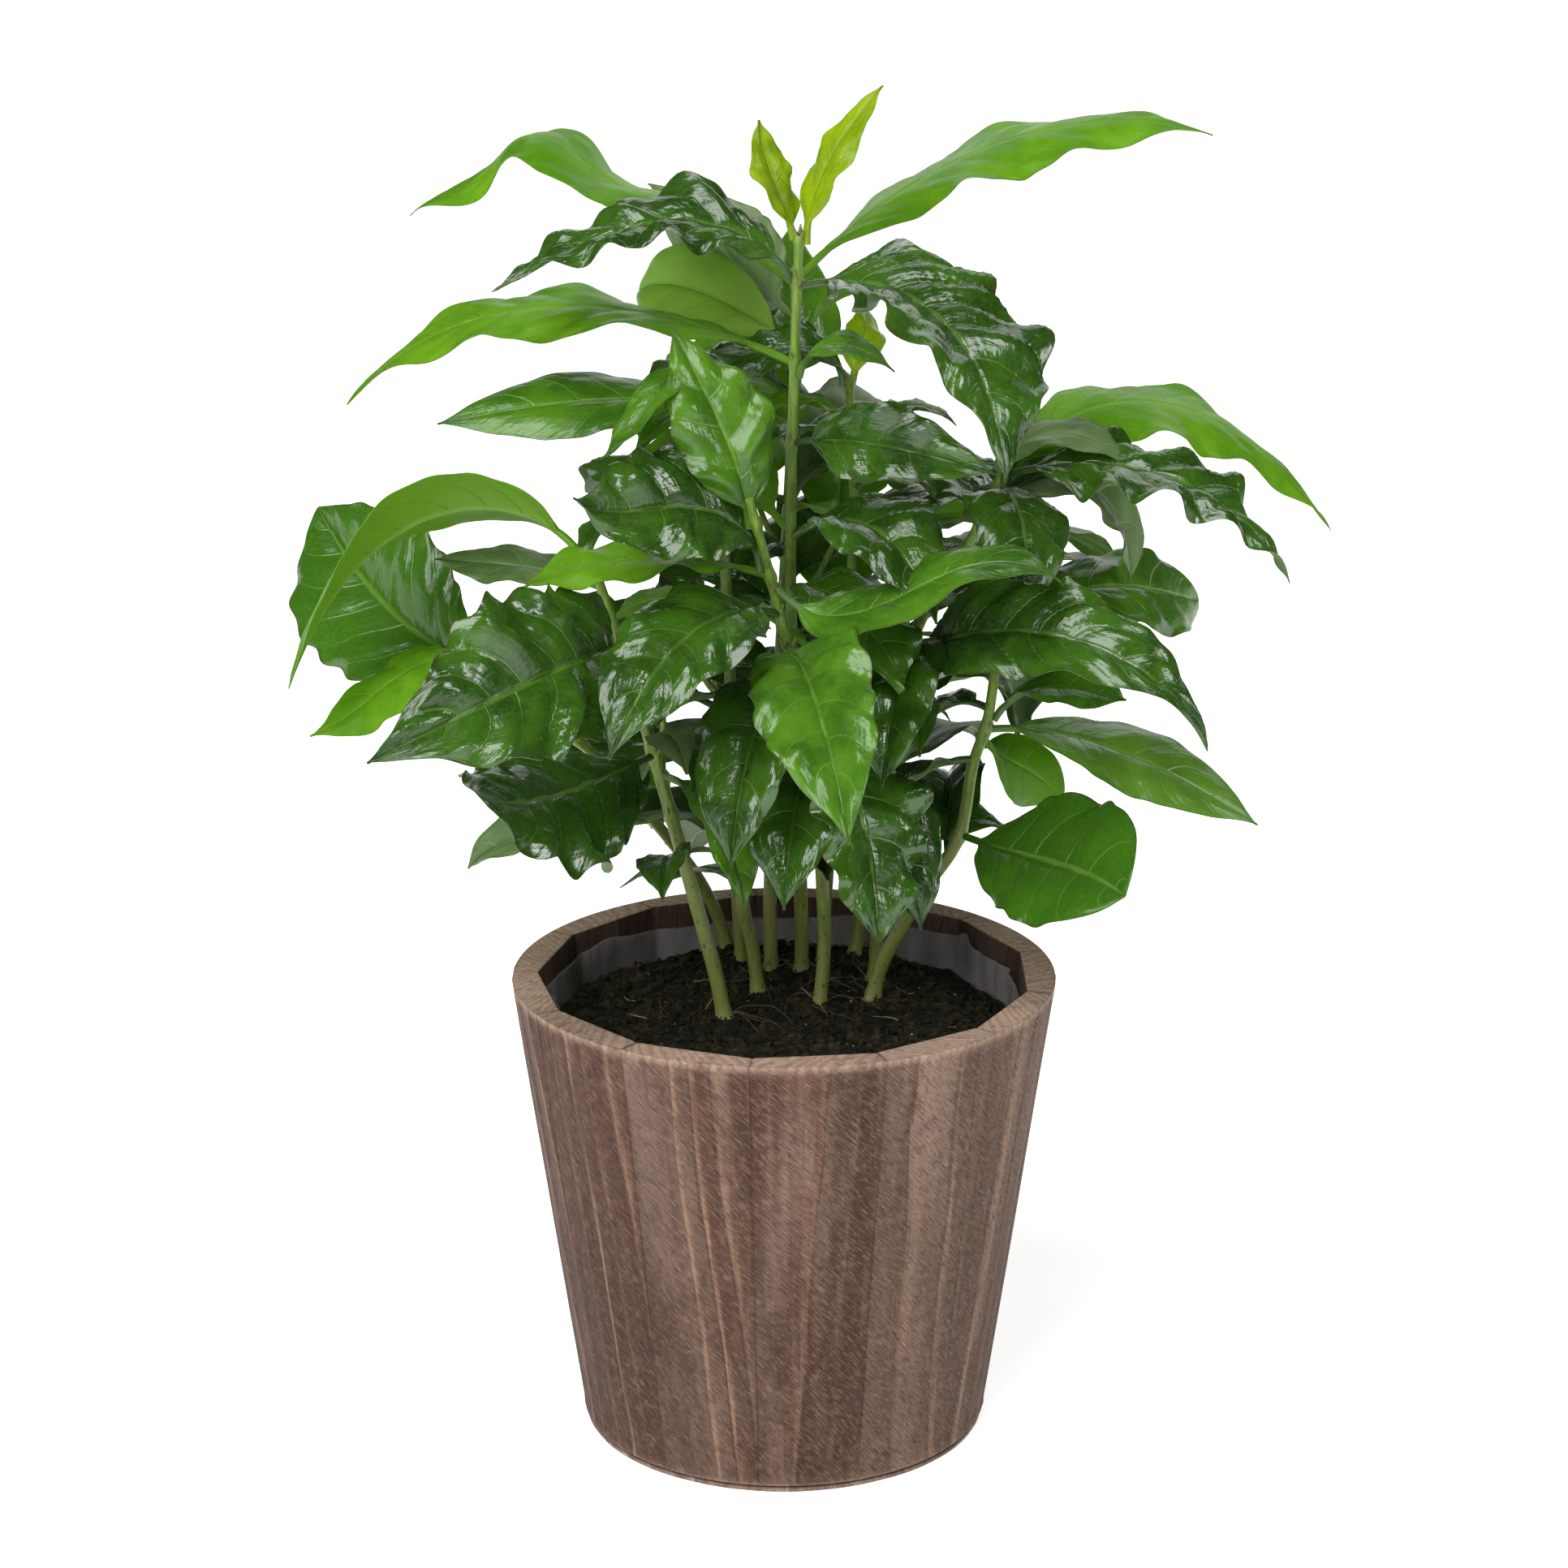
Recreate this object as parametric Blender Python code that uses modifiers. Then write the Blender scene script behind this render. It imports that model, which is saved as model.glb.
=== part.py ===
"""Potted coffee plant: a clump of young stems in a round pot of wooden staves.

The origin is the middle of the pot's flat underside, +Z is up and -Y is the front.
Sizes below are in millimetres and are turned into metres by MM where a shape is made.
"""
import math
from dataclasses import dataclass, field

import bpy
from mathutils import Vector

MM = 0.001
GAP = 0.3
MERGE = 0.00001

# Pot
POT_HEIGHT = 130.0
RIM_RADIUS = 75.0
FOOT_RADIUS = 57.0
STAVES = 13
RIM_CORNER_RADIUS = 68.0
FOOT_CORNER_RADIUS = 49.5
EDGE_ROUND = 1.6
POT_SIDES = 56
SKIRT = 1.6
BOARD_RADIUS = 56.2
BOARD_TOP = 9.0
LINER_TOP = 126.0
LINER_THICKNESS = 0.4
SOIL_TOP = 117.0
SOIL_EDGE_DROP = 1.5
SOIL_SIDES = 40

# Stems
STEM_FOOT = SOIL_TOP + GAP
STEM_RESOLUTION = 2
STEM_START = 1.5
STEM_STEP = 18.0
FLARE = 1.45
FLARE_HEIGHT = 7.0

# Leaves
BLADE_THICKNESS = 1.0
BLADE_STATIONS = 10
MIDRIB_STEPS = 4
SEAT_ROOM = 0.5
PETIOLE_SHARE = 0.08
PETIOLE_HALF_WIDTH = 1.0
TIP_HALF_WIDTH = 0.6
WIDEST_FRONT = 0.75
WIDEST_BACK = 1.1

# Masses
MASS_SUBDIVISIONS = 3
MASS_UNEVENNESS = 0.16

COLOURS = {
    "wood": ((0.16, 0.09, 0.06), 0.75),
    "film": ((0.45, 0.47, 0.48), 0.25),
    "soil": ((0.02, 0.015, 0.01), 0.95),
    "stem": ((0.22, 0.28, 0.06), 0.5),
    "dark": ((0.015, 0.075, 0.015), 0.25),
    "mid": ((0.04, 0.16, 0.02), 0.3),
    "bright": ((0.1, 0.3, 0.03), 0.35),
    "young": ((0.3, 0.42, 0.03), 0.35),
}


@dataclass
class Leaf:
    """One leaf blade, from where it leaves its stem to its tip.

    height is where it leaves the stem. azimuth is the way it sets off, 0 to the right and
    90 away from the front, and sweep is how far it turns on its way. rise, level and droop
    are its slopes at the stem, halfway and at the tip. roll lifts its right side, twist is
    how much that grows from stem to tip, and fold is the rise of each half from the midrib.
    """

    name: str
    colour: str
    height: float
    azimuth: float
    length: float
    width: float
    rise: float
    level: float
    droop: float
    sweep: float = 0.0
    roll: float = 0.0
    twist: float = 0.0
    fold: float = 0.0


@dataclass
class Stem:
    """One tapering stem, as its thickness at foot and tip and the points of its route.

    The route starts with the foot's place on the soil, and its other points have a height.
    """

    name: str
    foot_radius: float
    tip_radius: float
    route: list
    leaves: list = field(default_factory=list)


@dataclass
class Mass:
    """One closed, uneven mass that stands for the small leaves inside the crown."""

    name: str
    centre: tuple
    radii: tuple
    phase: float


STEMS = [
    Stem(
        "stem_main",
        2.3,
        1.3,
        [(5, 35), (5, 34, 131), (4, 29, 170), (2, 17, 225), (2, 4, 270), (3.5, 0, 321), (4, 0, 333)],
        [
            Leaf("leaf_young_left", "young", 333, 150, 31, 15, 75, 65, 90, roll=10, twist=40, fold=5),
            Leaf("leaf_young_right", "young", 332, 5, 45, 14, 90, 60, 50, sweep=5, roll=-30, twist=-25, fold=-5),
            Leaf("leaf_dark_left", "dark", 322, 180, 87, 31, 60, -10, -20, sweep=25, roll=15, twist=-50, fold=5),
            Leaf("leaf_dark_right", "dark", 320, 330, 103, 46, 15, -25, -50, sweep=-55, roll=5, twist=60, fold=10),
            Leaf("leaf_long_left", "bright", 300, 175, 131, 35, 25, -5, -50, sweep=-10, roll=10, twist=35, fold=-5),
            Leaf("leaf_inner_right", "dark", 278, 320, 60, 22, 15, -5, -10, sweep=20, roll=-70, twist=40, fold=20),
        ],
    ),
    Stem(
        "stem_back",
        2.2,
        1.4,
        [(-3.5, 35), (-4, 36, 140), (-2, 38, 190), (1, 37, 250), (3, 31, 292), (3, 22, 321)],
        [
            Leaf("leaf_top_right", "bright", 319, 40, 127, 41, 35, 20, -15, sweep=-60, roll=-5, twist=-40, fold=-10),
            Leaf("leaf_top_left", "bright", 318, 155, 123, 36, 30, 20, -55, sweep=25, roll=5, twist=30, fold=-10),
            Leaf("leaf_back_round", "bright", 300, 165, 60, 22, 35, 10, -25, sweep=-50, roll=65, twist=-5, fold=30),
            Leaf("leaf_back_dull", "mid", 308, 125, 69, 30, 15, 30, 15, sweep=10, roll=65, twist=-60, fold=-20),
            Leaf("leaf_back_upright", "mid", 290, 85, 54, 24, 0, 60, 30, sweep=15, roll=-20, twist=-55, fold=5),
        ],
    ),
    Stem(
        "stem_shoot",
        2.0,
        1.2,
        [(11, 46), (12, 46, 135), (16, 42, 190), (19, 28, 250), (17.5, 15, 293)],
        [
            Leaf("leaf_middle_dark", "dark", 292, 190, 42, 20, 90, -10, 25, sweep=-40, roll=30, twist=60),
            Leaf("leaf_shoot_up", "young", 292, 60, 31, 12, 70, 25, 25, sweep=40, roll=-25, twist=-60),
        ],
    ),
    Stem(
        "stem_left_back",
        2.2,
        1.3,
        [(-7, 18), (-9, 18, 132), (-12, 16, 150), (-15, 9, 220), (-17, 1, 285), (-17, -1, 298)],
        [
            Leaf("leaf_left_gloss", "mid", 289, 175, 73, 26, 5, -5, -10, sweep=15, roll=30, twist=35, fold=-5),
            Leaf("leaf_left_narrow", "mid", 296, 225, 56, 12, 40, -35, 15, sweep=20, roll=-5, twist=-60, fold=10),
        ],
    ),
    Stem(
        "stem_left_front",
        2.5,
        1.4,
        [(-16, -5), (-19, -5, 132), (-25, -5, 155), (-38, -7, 205), (-48, -6, 238), (-53, -5, 251)],
        [
            Leaf("leaf_left_arch", "bright", 249, 160, 106, 40, 50, -30, -65, sweep=55, twist=-45, fold=10),
            Leaf("leaf_left_broad", "dark", 223, 265, 110, 46, 20, -5, -20, sweep=-60, roll=55, twist=-15, fold=10),
            Leaf("leaf_left_low", "dark", 194, 240, 86, 44, 0, 5, 25, sweep=5, roll=35, fold=-15),
            Leaf("leaf_left_lowest", "mid", 177, 185, 59, 28, -20, -10, -50, sweep=-30, roll=25, twist=60, fold=30),
        ],
    ),
    Stem(
        "stem_left_far",
        2.2,
        1.4,
        [(-16, 54), (-20, 53, 130), (-29, 48, 148), (-50, 30, 180), (-70, 12, 206), (-80, 4, 218)],
        [
            Leaf("leaf_far_left_pale", "mid", 215, 135, 97, 48, -5, 20, 30, sweep=-15, roll=55, fold=15),
            Leaf("leaf_far_left_low", "bright", 216, 175, 55, 24, 30, -35, -15, sweep=20, roll=25, twist=35, fold=-10),
        ],
    ),
    Stem(
        "stem_front",
        2.1,
        1.3,
        [(9.7, 6), (11, 6, 131), (11, 5, 145), (8, -2, 185), (0, -14, 230), (-9, -24, 268)],
        [
            Leaf("leaf_front_upright", "mid", 261, 165, 53, 27, 85, 70, 65, sweep=-20, roll=30, twist=-30),
            Leaf("leaf_front_right_light", "mid", 242, 325, 84, 26, -40, 30, -40, sweep=25, roll=-25, twist=5),
            Leaf("leaf_front_left_dark", "dark", 249, 195, 69, 36, 85, 5, 40, sweep=40, roll=50, twist=35, fold=10),
            Leaf("leaf_front_left_broad", "dark", 236, 230, 80, 34, 20, -20, -50, sweep=10, roll=15, fold=5),
            Leaf("leaf_front_right_broad", "mid", 226, 280, 82, 35, 5, -25, -55, sweep=5, roll=-20, fold=20),
            Leaf("leaf_front_low", "dark", 216, 245, 62, 30, 5, -50, -75, sweep=5, roll=10, fold=25),
            Leaf("leaf_front_lowest", "dark", 194, 260, 48, 25, -15, -50, -75, sweep=-5, twist=-5, fold=15),
        ],
    ),
    Stem(
        "stem_right",
        2.4,
        1.5,
        [(26, 31), (26.5, 31, 131), (28, 24, 172), (33, 9, 215), (41, 1, 238), (50, 0, 252), (59, 0, 271)],
        [
            Leaf("leaf_far_right", "bright", 265, 35, 120, 37, 60, -15, -55, sweep=-35, roll=-15, fold=-10),
            Leaf("leaf_right_wavy", "dark", 270, 335, 87, 32, 20, -15, -60, sweep=5, roll=-10, twist=45),
            Leaf("leaf_right_hanging", "mid", 257, 20, 67, 34, 65, -30, -90, sweep=10, roll=-35, twist=-60, fold=15),
            Leaf("leaf_right_near", "dark", 258, 300, 58, 28, 90, -35, 20, sweep=-40, roll=10, twist=20, fold=-15),
            Leaf("leaf_right_broad", "dark", 219, 295, 110, 32, 25, 0, -70, sweep=60, roll=-40, twist=60, fold=10),
        ],
    ),
    Stem(
        "stem_right_low",
        2.4,
        1.4,
        [
            (24.6, 14),
            (28, 13, 129),
            (38.5, 10, 150),
            (48, 8, 166),
            (51.5, 4, 188),
            (55, 1, 201),
            (57, 3, 215),
            (58, 5, 229),
        ],
        [
            Leaf("leaf_right_round", "mid", 228, 15, 77, 28, 35, -10, -15, sweep=45, roll=-40, twist=-60, fold=-5),
            Leaf("leaf_right_long", "mid", 199, 15, 79, 29, 0, -20, -20, sweep=-55, roll=-20, twist=-25, fold=-5),
            Leaf("leaf_right_pale", "bright", 195, 50, 40, 21, -45, -30, -60, sweep=-15, roll=-70, twist=-60, fold=-15),
            Leaf("leaf_right_lowest", "mid", 167, 320, 87, 42, -15, 5, 25, sweep=-45, roll=-45, twist=-20, fold=25),
        ],
    ),
    Stem(
        "stem_rear_left",
        2.1,
        1.3,
        [(-12, 43), (-13, 43, 131), (-16, 45, 180), (-24, 50, 230), (-28, 52, 250)],
        [
            Leaf("leaf_rear_high_left", "dark", 249, 110, 84, 32, 40, -20, -50, roll=10),
            Leaf("leaf_rear_centre", "mid", 224, 60, 94, 38, 15, -35, -50, sweep=-5, roll=-10, twist=5, fold=-10),
            Leaf("leaf_rear_low_left", "dark", 204, 150, 92, 34, 15, -25, -45, roll=-5, fold=5),
        ],
    ),
    Stem(
        "stem_rear_right",
        2.1,
        1.3,
        [(20, 47), (22, 48, 131), (28, 51, 180), (36, 54, 225), (40, 56, 243)],
        [
            Leaf("leaf_rear_high_right", "mid", 242, 70, 88, 33, 45, -10, -45, sweep=-10, roll=-15, fold=5),
            Leaf("leaf_rear_low_right", "dark", 203, 20, 92, 34, 25, -5, -45, fold=5),
        ],
    ),
]

MASSES = [
    Mass("foliage_rear", (11, 57, 239), (26, 20, 26), 0.5),
    Mass("foliage_left", (-65, 23, 224), (20, 24, 24), 1.7),
    Mass("foliage_right", (58, 25, 217), (22, 22, 24), 2.9),
]


def metres(point):
    """Turn a point in millimetres into a vector in metres."""
    return Vector(point) * MM


def clear_scene():
    """Remove whatever the scene starts with."""
    for item in list(bpy.data.objects):
        bpy.data.objects.remove(item)


def make_materials():
    """Make one plain Principled BSDF for each colour."""
    made = {}
    for name, (colour, roughness) in COLOURS.items():
        material = bpy.data.materials.new(name)
        material.use_nodes = True
        shader = material.node_tree.nodes["Principled BSDF"]
        shader.inputs["Base Color"].default_value = (*colour, 1.0)
        shader.inputs["Roughness"].default_value = roughness
        made[name] = material
    return made


class Builder:
    """Puts finished objects into the plant's collection, under one empty."""

    def __init__(self):
        self.materials = make_materials()
        self.plant = bpy.data.collections.new("potted_coffee_plant")
        self.cutters = bpy.data.collections.new("cutters")
        for collection in (self.plant, self.cutters):
            bpy.context.scene.collection.children.link(collection)
        self.stand = bpy.data.objects.new("stand", None)
        self.plant.objects.link(self.stand)

    def place(self, item, name, colour):
        """Name an object, colour it and hang it under the empty."""
        item.name = name
        item.data.name = name
        item.data.materials.clear()
        item.data.materials.append(self.materials[colour])
        for collection in list(item.users_collection):
            collection.objects.unlink(item)
        self.plant.objects.link(item)
        item.parent = self.stand
        return item

    def hide_cutter(self, item, name):
        """Keep a cutter for its Boolean only."""
        item.name = name
        item.hide_render = True
        item.display_type = "WIRE"
        for collection in list(item.users_collection):
            collection.objects.unlink(item)
        self.cutters.objects.link(item)
        return item


def turned(name, profile, sides):
    """Turn a profile of (radius, height) points, listed from the top down, round Z."""
    mesh = bpy.data.meshes.new(name)
    edges = [(i, i + 1) for i in range(len(profile) - 1)]
    mesh.from_pydata([metres((radius, 0, height)) for radius, height in profile], edges, [])
    item = bpy.data.objects.new(name, mesh)
    screw = item.modifiers.new("turn", "SCREW")
    screw.steps = sides
    screw.render_steps = sides
    screw.use_merge_vertices = True
    screw.merge_threshold = MERGE
    screw.use_smooth_shade = True
    return item


def even_shading(item):
    """Let the large faces lead the smooth shading, so that flat parts look flat."""
    normals = item.modifiers.new("shading", "WEIGHTED_NORMAL")
    normals.weight = 100


def wall_corner_radius(height):
    """Radius of the pot's inner corners at a height."""
    share = (height - SKIRT) / (POT_HEIGHT - SKIRT)
    return FOOT_CORNER_RADIUS + (RIM_CORNER_RADIUS - FOOT_CORNER_RADIUS) * share


def wall_flat_radius(height):
    """Distance from the pot's axis to the middle of its inner flats at a height."""
    return wall_corner_radius(height) * math.cos(math.pi / STAVES)


def staved_cone(bottom, top, inset, fill):
    """A many-sided cone along the pot's inner flats, between two heights."""
    bpy.ops.mesh.primitive_cone_add(
        vertices=STAVES,
        radius1=(wall_corner_radius(bottom) - inset) * MM,
        radius2=(wall_corner_radius(top) - inset) * MM,
        depth=(top - bottom) * MM,
        end_fill_type=fill,
        location=(0, 0, (bottom + top) / 2 * MM),
        rotation=(0, 0, math.pi / 2),
    )
    return bpy.context.object


def build_pot(builder):
    """The staved wall, turned round outside, and the board under it."""
    profile = [(0, POT_HEIGHT), (RIM_RADIUS, POT_HEIGHT), (FOOT_RADIUS + EDGE_ROUND / 4, SKIRT + EDGE_ROUND * 2)]
    for step in range(3):
        angle = math.pi / 4 * step
        out = FOOT_RADIUS - EDGE_ROUND * (1 - math.cos(angle))
        profile.append((out, SKIRT + EDGE_ROUND * (1 - math.sin(angle))))
    profile.append((0, SKIRT))
    wall = builder.place(turned("pot_wall", profile, POT_SIDES), "pot_wall", "wood")
    hollow = builder.hide_cutter(staved_cone(-POT_HEIGHT, POT_HEIGHT * 2, 0, "NGON"), "hollow")
    cut = wall.modifiers.new("hollow", "BOOLEAN")
    cut.operation = "DIFFERENCE"
    cut.object = hollow
    even_shading(wall)
    plug = wall_flat_radius(SKIRT) - GAP
    board = [
        (0, BOARD_TOP),
        (plug, BOARD_TOP),
        (plug, SKIRT - GAP),
        (BOARD_RADIUS, SKIRT - GAP),
        (BOARD_RADIUS, 0),
        (0, 0),
    ]
    even_shading(builder.place(turned("pot_base", board, POT_SIDES), "pot_base", "wood"))


def build_liner(builder):
    """The clear film that lines the pot and stands up above the soil."""
    film = staved_cone(BOARD_TOP + GAP, LINER_TOP, GAP * 2, "NOTHING")
    bpy.ops.object.transform_apply(location=True, rotation=True, scale=True)
    solid = film.modifiers.new("film", "SOLIDIFY")
    solid.thickness = LINER_THICKNESS * MM
    solid.offset = -1
    builder.place(film, "liner", "film")


def build_soil(builder):
    """The potting soil inside the film."""
    room = GAP * 3 + LINER_THICKNESS
    bottom = BOARD_TOP + GAP
    edge = SOIL_TOP - SOIL_EDGE_DROP
    profile = [
        (0, SOIL_TOP),
        (wall_flat_radius(SOIL_TOP) - room - SOIL_EDGE_DROP * 2, SOIL_TOP),
        (wall_flat_radius(edge) - room, edge),
        (wall_flat_radius(bottom) - room, bottom),
        (0, bottom),
    ]
    even_shading(builder.place(turned("soil", profile, SOIL_SIDES), "soil", "soil"))


def smooth_route(route):
    """Sample a smooth curve through a stem's points, with a short upright start."""
    points = [Vector((*route[0], STEM_FOOT)), *(Vector(point) for point in route[1:])]
    ends = [points[0] * 2 - points[1], *points, points[-1] * 2 - points[-2]]
    sampled = [points[0], points[0] + Vector((0, 0, STEM_START))]
    for index in range(1, len(ends) - 2):
        before, start, end, after = ends[index - 1 : index + 3]
        steps = max(1, round((end - start).length / STEM_STEP))
        for step in range(1, steps + 1):
            t = step / steps
            bend = 2 * before - 5 * start + 4 * end - after
            swing = 3 * start - before - 3 * end + after
            sampled.append((2 * start + (end - before) * t + bend * t * t + swing * t**3) / 2)
    return sampled


class StemCurve:
    """A stem's sampled centre line and its taper."""

    def __init__(self, stem):
        self.stem = stem
        self.points = smooth_route(stem.route)

    def radius(self, height):
        """Radius of the stem at a height, with its root flare."""
        low = self.points[0].z
        share = (height - low) / (self.points[-1].z - low)
        plain = self.stem.foot_radius + (self.stem.tip_radius - self.stem.foot_radius) * share
        flare = max(0.0, 1 - (height - low) / FLARE_HEIGHT)
        return plain * (1 + (FLARE - 1) * flare * flare)

    def centre(self, height):
        """Centre of the stem at a height."""
        for start, end in zip(self.points, self.points[1:]):
            if start.z <= height <= end.z:
                return start.lerp(end, (height - start.z) / (end.z - start.z))
        return self.points[-1].copy()


def build_stem(builder, curve):
    """One stem as a bevelled curve with a flat cut at the soil."""
    data = bpy.data.curves.new(curve.stem.name, "CURVE")
    data.dimensions = "3D"
    data.bevel_depth = MM
    data.bevel_resolution = STEM_RESOLUTION
    data.use_fill_caps = True
    spline = data.splines.new("POLY")
    spline.points.add(len(curve.points) - 1)
    for knot, point in zip(spline.points, curve.points):
        knot.co = (*(point * MM), 1.0)
        knot.radius = curve.radius(point.z)
    item = bpy.data.objects.new(curve.stem.name, data)
    builder.place(item, curve.stem.name, "stem")


def slope(leaf, share):
    """The blade's slope in degrees at a share of its length."""
    start = leaf.rise * (1 - share) * (1 - 2 * share)
    middle = leaf.level * 4 * share * (1 - share)
    return start + middle + leaf.droop * share * (2 * share - 1)


def heading(leaf, share):
    """The direction that the midrib runs in at a share of its length."""
    lift = math.radians(slope(leaf, share))
    turn = math.radians(leaf.azimuth + leaf.sweep * share)
    return Vector((math.cos(lift) * math.cos(turn), math.cos(lift) * math.sin(turn), math.sin(lift)))


def half_width(leaf, share):
    """Half of the blade's width at a share of its length, the stalk included."""
    along = min(1.0, max(0.0, (share - PETIOLE_SHARE) / (1 - PETIOLE_SHARE)))
    widest = WIDEST_FRONT / (WIDEST_FRONT + WIDEST_BACK)
    full = widest**WIDEST_FRONT * (1 - widest) ** WIDEST_BACK
    outline = along**WIDEST_FRONT * (1 - along) ** WIDEST_BACK / full
    least = TIP_HALF_WIDTH if share > 0.99 else PETIOLE_HALF_WIDTH
    return max(leaf.width / 2 * outline, least)


def midrib(leaf):
    """Points along the midrib, one for each station, from the leaf's own foot."""
    steps = BLADE_STATIONS * MIDRIB_STEPS
    place = Vector((0, 0, 0))
    points = [place.copy()]
    for step in range(steps):
        place = place + heading(leaf, (step + 0.5) / steps) * leaf.length / steps
        if (step + 1) % MIDRIB_STEPS == 0:
            points.append(place.copy())
    return points


def blade_point(leaf, points, station, side):
    """A point of the blade at a station, with side -1 at its left edge and 1 at its right."""
    share = station / BLADE_STATIONS
    turn = math.radians(leaf.azimuth + leaf.sweep * share)
    level_side = Vector((math.sin(turn), -math.cos(turn), 0))
    level_up = level_side.cross(heading(leaf, share))
    roll = math.radians(leaf.roll + leaf.twist * (share - 0.5))
    across = math.cos(roll) * level_side + math.sin(roll) * level_up
    up = math.cos(roll) * level_up - math.sin(roll) * level_side
    fold = math.radians(leaf.fold)
    out = across * side * math.cos(fold) + up * abs(side) * math.sin(fold)
    return points[station] + out * half_width(leaf, share)


def leaf_foot(leaf, curve):
    """Where the stalk starts, a hair away from its stem."""
    turn = math.radians(leaf.azimuth)
    away = Vector((math.cos(turn), math.sin(turn), 0))
    stand_off = GAP + SEAT_ROOM + BLADE_THICKNESS / 2 * abs(math.sin(math.radians(leaf.rise)))
    return curve.centre(leaf.height) + away * (curve.radius(leaf.height) + stand_off)


def build_leaf(builder, leaf, curve):
    """One leaf as a bent grid with its thickness from Solidify."""
    bpy.ops.mesh.primitive_grid_add(x_subdivisions=BLADE_STATIONS, y_subdivisions=2, size=2)
    item = bpy.context.object
    points = midrib(leaf)
    for vertex in item.data.vertices:
        station = round((vertex.co.x + 1) / 2 * BLADE_STATIONS)
        vertex.co = blade_point(leaf, points, station, -vertex.co.y) * MM
    item.data.shade_smooth()
    item.location = leaf_foot(leaf, curve) * MM
    solid = item.modifiers.new("blade", "SOLIDIFY")
    solid.thickness = BLADE_THICKNESS * MM
    solid.offset = 0
    builder.place(item, leaf.name, leaf.colour)


def build_mass(builder, mass):
    """One mass as a sphere pushed out and in by a few slow waves."""
    bpy.ops.mesh.primitive_ico_sphere_add(subdivisions=MASS_SUBDIVISIONS, radius=1)
    item = bpy.context.object
    for vertex in item.data.vertices:
        way = vertex.co.normalized()
        wave = math.sin(3 * way.x + 4 * way.z + mass.phase) * math.cos(4 * way.y + 2 * mass.phase)
        size = 1 - MASS_UNEVENNESS + MASS_UNEVENNESS * wave
        vertex.co = Vector(way[axis] * mass.radii[axis] * size * MM for axis in range(3))
    item.data.shade_smooth()
    item.location = metres(mass.centre)
    builder.place(item, mass.name, "mid")


def build_plant():
    """Build the pot, then each stem with its leaves, then the masses."""
    clear_scene()
    builder = Builder()
    build_pot(builder)
    build_liner(builder)
    build_soil(builder)
    for stem in STEMS:
        curve = StemCurve(stem)
        build_stem(builder, curve)
        for leaf in stem.leaves:
            build_leaf(builder, leaf, curve)
    for mass in MASSES:
        build_mass(builder, mass)


build_plant()
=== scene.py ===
"""Looks of the potted coffee plant.

Wavy, veined leaves on slender stems stand in dark soil, in a round pot of wooden staves that is
lined with clear film. Sizes are in millimetres and are turned into metres where a mesh is made.
+Z is up and -Y is the front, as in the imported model.
"""
import logging
import math
from dataclasses import dataclass, field
from enum import Enum
from itertools import combinations, product

import bpy
import numpy as np
from mathutils import Matrix, Vector, noise


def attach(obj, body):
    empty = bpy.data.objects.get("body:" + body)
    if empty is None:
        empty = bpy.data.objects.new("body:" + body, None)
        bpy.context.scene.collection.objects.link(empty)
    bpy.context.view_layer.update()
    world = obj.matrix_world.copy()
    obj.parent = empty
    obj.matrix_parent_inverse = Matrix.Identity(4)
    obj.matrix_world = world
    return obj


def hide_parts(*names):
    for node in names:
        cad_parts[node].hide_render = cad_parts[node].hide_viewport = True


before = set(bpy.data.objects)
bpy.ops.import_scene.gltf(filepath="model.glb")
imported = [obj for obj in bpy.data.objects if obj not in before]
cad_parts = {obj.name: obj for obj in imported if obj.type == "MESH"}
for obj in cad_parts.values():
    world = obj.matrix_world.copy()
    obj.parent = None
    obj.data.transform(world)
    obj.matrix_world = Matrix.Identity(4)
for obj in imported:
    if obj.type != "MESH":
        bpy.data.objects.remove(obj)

log = logging.getLogger("coffee_plant")

MM = 0.001
BODY = "root"
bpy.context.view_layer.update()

Colour = tuple[float, float, float]
Point = tuple[float, float, float]
Socket = bpy.types.NodeSocket
Value = Socket | float
Tint = Socket | Colour


# Meshes


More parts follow.
